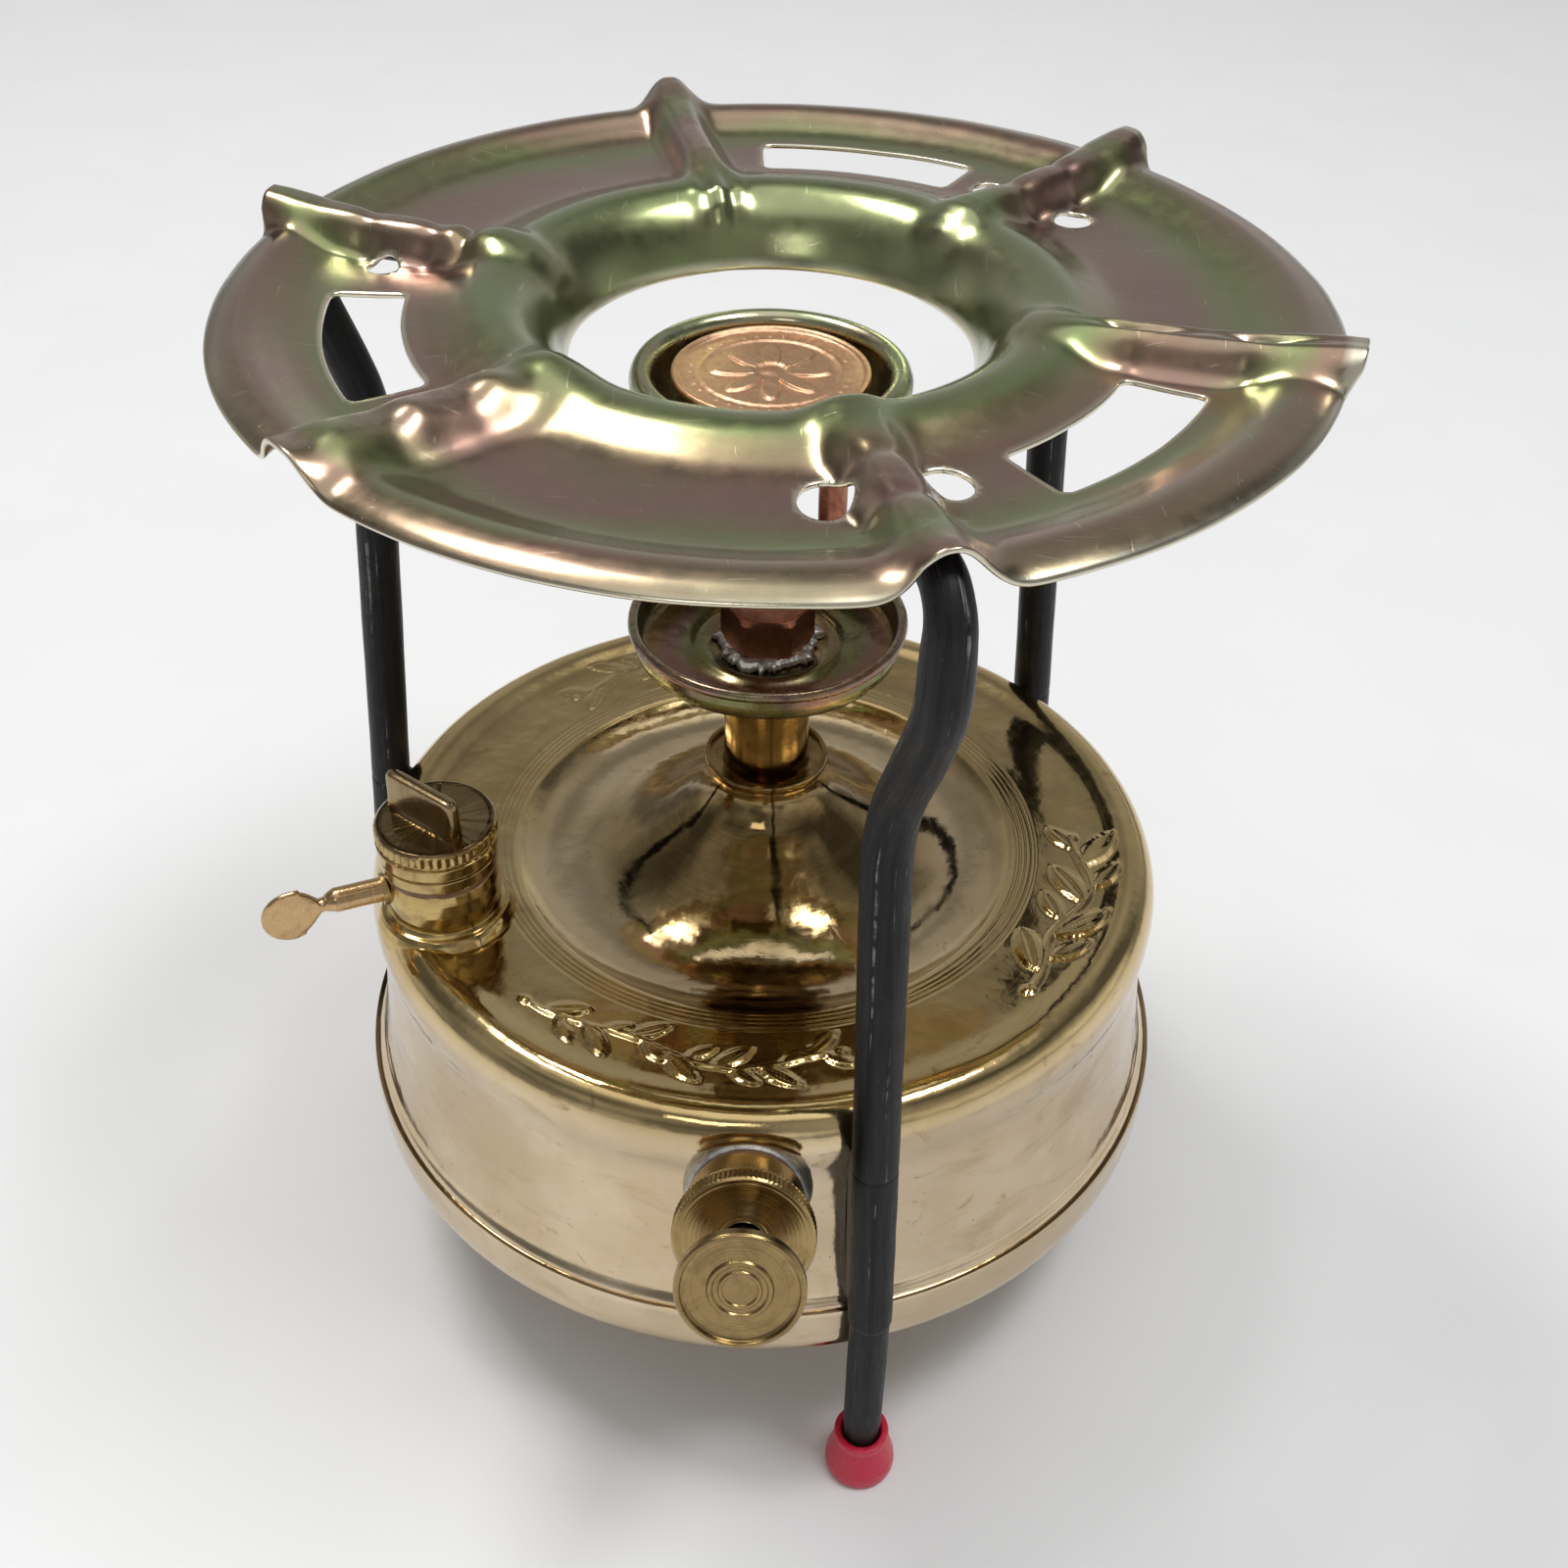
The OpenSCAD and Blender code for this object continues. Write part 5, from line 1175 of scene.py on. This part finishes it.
def build_ring():
    line = curve(RING, 0.75)
    az = []
    for k, rb in enumerate(RIBS):
        a0, a1 = rb["az"], RIBS[(k + 1) % 6]["az"]
        if a1 < a0:
            a1 += 360
        az += list(np.arange(a0 - 0.0, a0 + 8.5, 0.34)) + list(np.linspace(a0 + 8.6, a1 - 8.6, 48)) + list(np.arange(a1 - 8.25, a1 - 0.2, 0.34))
    AZ1 = np.array(az)
    n, m = len(line), len(AZ1)
    R, AZ = np.repeat(line[:, :1], m, 1), np.tile(AZ1, (n, 1))
    Z = np.repeat(line[:, 1:2], m, 1)
    R2, Z2, wear, rim = ring_height(None, R, Z, AZ)
    X, Y = R2 * np.cos(AZ * D2R), R2 * np.sin(AZ * D2R)
    S = cut_shape(X, Y)
    # distances near zero are snapped to zero so the cut leaves no slivers
    S[np.abs(S) < 0.06] = 0.0
    V = np.stack([X, Y, Z2], -1).reshape(-1, 3)
    S, wear, rim = S.ravel(), wear.ravel(), rim.ravel()
    verts, vs, vw, vr = list(map(tuple, V)), list(S), list(wear), list(rim)
    cutv = {}

    def cross(a, b):
        key = (min(a, b), max(a, b))
        if key not in cutv:
            t = S[a] / (S[a] - S[b])
            cutv[key] = len(verts)
            verts.append(tuple(V[a] + (V[b] - V[a]) * t))
            vs.append(0.0)
            vw.append(wear[a] * (1 - t) + wear[b] * t)
            vr.append(rim[a] * (1 - t) + rim[b] * t)
        return cutv[key]

    F = []
    for i in range(n - 1):
        for j in range(m):
            q = (i * m + j, i * m + (j + 1) % m, (i + 1) * m + (j + 1) % m, (i + 1) * m + j)
            sg = [S[a] >= 0 for a in q]
            if all(sg):
                F.append(q)
            elif any(sg):
                poly = []
                for k in range(4):
                    a, b = q[k], q[(k + 1) % 4]
                    if sg[k]:
                        poly.append(a)
                    if sg[k] != sg[(k + 1) % 4] and abs(S[a] - S[b]) > 1e-9:
                        if (sg[k] and S[a] > 0) or (not sg[k] and S[b] > 0):
                            poly.append(cross(a, b))
                if len(poly) >= 3 and not all(S[a] == 0 if a < len(S) else True for a in poly):
                    F.append(tuple(poly))
    verts = np.array(verts)
    lo, hi = np.array(CAD_BOX[0]) * 1000 + 0.35, np.array(CAD_BOX[1]) * 1000 - 0.35
    verts[:, :2] = np.clip(verts[:, :2], lo[:2], hi[:2])
    verts[:, 2] = np.minimum(verts[:, 2], hi[2] + 0.30)
    rr = np.hypot(verts[:, 0], verts[:, 1])
    # mask for the painted highlight: cut edges, the outer rim band and the hole edge
    edge = np.maximum(1 - step(0.0, 0.7, np.array(vs)), 0)
    edge = np.maximum(edge, np.maximum(step(92.3, 93.0, rr), 1 - step(34.4, 35.2, rr)))
    used = sorted({i for f in F for i in f})
    remap = {a: b for b, a in enumerate(used)}
    F = [tuple(remap[i] for i in f) for f in F]
    verts = verts[used]
    # thickness goes below the pressed face, in code, with a rounded cut edge
    me = bpy.data.meshes.new("tmp")
    me.from_pydata(verts.tolist(), [], F)
    bm = bmesh.new()
    bm.from_mesh(me)
    bmesh.ops.recalc_face_normals(bm, faces=bm.faces)
    bm.normal_update()
    up = sum(v.normal.z for v in bm.verts)
    if up < 0:
        bmesh.ops.reverse_faces(bm, faces=bm.faces)
        bm.normal_update()
    bm.verts.ensure_lookup_table()
    N = np.array([v.normal[:] for v in bm.verts])
    border = [(e.verts[0].index, e.verts[1].index, e.link_loops[0].vert.index) for e in bm.edges if e.is_boundary]
    F = [tuple(v.index for v in f.verts) for f in bm.faces]
    # outward direction in the sheet at each border vertex
    out = np.zeros_like(N)
    for e in bm.edges:
        if e.is_boundary:
            a, b = e.verts
            f = e.link_faces[0]
            d = (b.co - a.co)
            o = d.cross(f.normal)
            mid = (a.co + b.co) / 2
            if o.dot(mid - f.calc_center_median()) < 0:
                o = -o
            if o.length > 1e-9:
                o.normalize()
                out[a.index] += o[:]
                out[b.index] += o[:]
    bm.free()
    bpy.data.meshes.remove(me)
    ln = np.linalg.norm(out, axis=1)
    out[ln > 0] /= ln[ln > 0][:, None]
    t = 0.9
    nv = len(verts)
    top = verts.copy()
    isb = ln > 0
    bot = verts - N * t
    # rounded edge: two extra rings between the faces
    idx = np.where(isb)[0]
    pos = {int(a): k for k, a in enumerate(idx)}
    r1 = verts[idx] + out[idx] * 0.20 - N[idx] * (t * 0.22)
    r2 = verts[idx] + out[idx] * 0.20 - N[idx] * (t * 0.78)
    allv = np.vstack([top, bot, r1, r2])
    faces = list(F) + [tuple(nv + i for i in reversed(f)) for f in F]
    b1, b2 = 2 * nv, 2 * nv + len(idx)
    for a, b, first in border:
        p, q = (a, b) if first == a else (b, a)
        faces.append((q, p, b1 + pos[p], b1 + pos[q]))
        faces.append((b1 + pos[q], b1 + pos[p], b2 + pos[p], b2 + pos[q]))
        faces.append((b2 + pos[q], b2 + pos[p], nv + p, nv + q))
    edge_highlight_u, wear_u, rim_u = edge[used], np.array(vw)[used], np.array(vr)[used]
    at = lambda v, k: np.r_[v, v * k, v[idx], v[idx]]
    # the rounded cut-edge faces take the full painted highlight
    put("pot_ring_sheet", allv, faces, M["ring"], "pot_ring", "steel_passivated", ("pot_ring",),
        attrs={"edge": np.r_[edge_highlight_u, edge_highlight_u, np.ones(2 * len(idx))], "wear": at(wear_u, 0.2), "rim": at(rim_u, 0.3)},
        sharp=58, merge=1e-6, recalc=False)


# ------------------------------------------------------------ carried nodes


def carried():
    kinds = {
        "leather": ("filler_washer", "pump_cap_washer", "pump_leather", "valve_plug"),
        "fitobj": ("dip_tube", "air_boss", "pump_barrel"),
        "turnobj": ("leather_plate", "leather_nut", "valve_body", "jet_nipple"),
        "copobj": ("jet_block",),
        "soldobj": ("valve_washer",),
        "steel": ("valve_spring",),
    }
    for kind, names in kinds.items():
        for n in names:
            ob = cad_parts[n]
            for s in ob.material_slots:
                s.material = M[kind]
            if not ob.material_slots:
                ob.data.materials.append(M[kind])


build_tank()
build_centre()
build_burner()
build_legs()
build_filler()
build_pump()
build_ring()
carried()

# --------------------------------------------------- floor, light and camera


def flat(name, size, z, mat):
    me = bpy.data.meshes.new(name)
    s = size / 2
    me.from_pydata([(-s, -s, z), (s, -s, z), (s, s, z), (-s, s, z)], [], [(0, 1, 2, 3)])
    me.materials.append(mat)
    ob = bpy.data.objects.new(name, me)
    scene.collection.objects.link(ob)
    return ob


fl = Mat("floor_paint", src="obj", rough=0.55)
f1 = fl.noise(0.02, 3.0, 0.5)
fl.bump(fl.noise(0.6, 3.0, 0.5), 0.03, 0.0002)
flat("floor", 8.0, 0.0, fl.set(Base_Color=fl.mix(fl.ran(f1, 0.3, 0.7), (0.800, 0.805, 0.810), (0.815, 0.820, 0.825))))


def area(name, loc, look, size, power, col=(1, 1, 1), size_y=None):
    l = bpy.data.lights.new(name, "AREA")
    l.energy = power
    l.color = col
    l.shape = "RECTANGLE"
    l.size = size
    l.size_y = size_y or size
    o = bpy.data.objects.new(name, l)
    scene.collection.objects.link(o)
    o.location = loc
    o.rotation_euler = (Vector(look) - Vector(loc)).to_track_quat("-Z", "Y").to_euler()
    return o


area("key", (-0.55, 0.40, 1.50), (0, 0, 0.12), 0.55, 10.5, (1.0, 0.985, 0.96), 0.34)
area("fill", (0.55, -0.15, 1.60), (0, 0, 0.12), 0.60, 9.0, (0.985, 0.99, 1.0), 0.34)
area("front", (-0.30, -1.25, 1.15), (0, 0, 0.10), 0.45, 1.2, (1.0, 0.99, 0.97), 0.3)

w = bpy.data.worlds.new("studio")
scene.world = w
w.use_nodes = True
nt = w.node_tree
nt.nodes.clear()
wo = nt.nodes.new("ShaderNodeOutputWorld")
bg = nt.nodes.new("ShaderNodeBackground")
tc = nt.nodes.new("ShaderNodeTexCoord")
sp = nt.nodes.new("ShaderNodeSeparateXYZ")
rp = nt.nodes.new("ShaderNodeValToRGB")
nt.links.new(tc.outputs["Generated"], sp.inputs[0])
nt.links.new(sp.outputs[2], rp.inputs[0])
e = rp.color_ramp.elements
e[0].position, e[0].color = 0.0, (0.210, 0.210, 0.208, 1)
e[1].position, e[1].color = 1.0, (0.46, 0.465, 0.475, 1)
for at, g in ((0.16, 0.200), (0.32, 0.110), (0.66, 0.095), (0.82, 0.13), (0.91, 0.44)):
    k = e.new(at)
    k.color = (g, g, g, 1)
# soft panels of light and shade stand round the room below the ceiling light
rn = nt.nodes.new("ShaderNodeTexNoise")
rn.inputs["Scale"].default_value = 1.7
rn.inputs["Detail"].default_value = 1.0
nt.links.new(tc.outputs["Generated"], rn.inputs["Vector"])
rm = nt.nodes.new("ShaderNodeMapRange")
rm.inputs[1].default_value, rm.inputs[2].default_value = 0.38, 0.62
rm.inputs[3].default_value, rm.inputs[4].default_value = 0.45, 1.55
nt.links.new(rn.outputs[0], rm.inputs[0])
up_ = nt.nodes.new("ShaderNodeMapRange")
up_.inputs[1].default_value, up_.inputs[2].default_value = 0.70, 0.85
nt.links.new(sp.outputs[2], up_.inputs[0])
rx = nt.nodes.new("ShaderNodeMix")
rx.data_type = "FLOAT"
nt.links.new(up_.outputs[0], rx.inputs[0])
nt.links.new(rm.outputs[0], rx.inputs[2])
rx.inputs[3].default_value = 1.0
rs = nt.nodes.new("ShaderNodeMath")
rs.operation = "MULTIPLY"
nt.links.new(rx.outputs[0], rs.inputs[0])
rs.inputs[1].default_value = 2.4
nt.links.new(rp.outputs[0], bg.inputs[0])
nt.links.new(rs.outputs[0], bg.inputs[1])
nt.links.new(bg.outputs[0], wo.inputs[0])

cam = bpy.data.cameras.new("camera")
cam.sensor_width = 36.0
cam.lens = 41.98
cam.clip_start = 0.01
cam.clip_end = 50
co = bpy.data.objects.new("camera", cam)
scene.collection.objects.link(co)
pitch, yaw, roll = 39.11 * D2R, 0.74 * D2R, 1.24 * D2R
fwd = Vector((math.sin(yaw) * math.cos(pitch), math.cos(yaw) * math.cos(pitch), -math.sin(pitch)))
rgt = Vector((math.cos(yaw), -math.sin(yaw), 0))
up = rgt.cross(fwd)
r2 = math.cos(roll) * rgt + math.sin(roll) * up
u2 = -math.sin(roll) * rgt + math.cos(roll) * up
mw = Matrix.Identity(4)
for i in range(3):
    mw[i][0], mw[i][1], mw[i][2] = r2[i], u2[i], -fwd[i]
mw.translation = Vector((0.0, -0.2868, 0.3384))
co.matrix_world = mw
scene.camera = co
scene.view_settings.view_transform = "Standard"
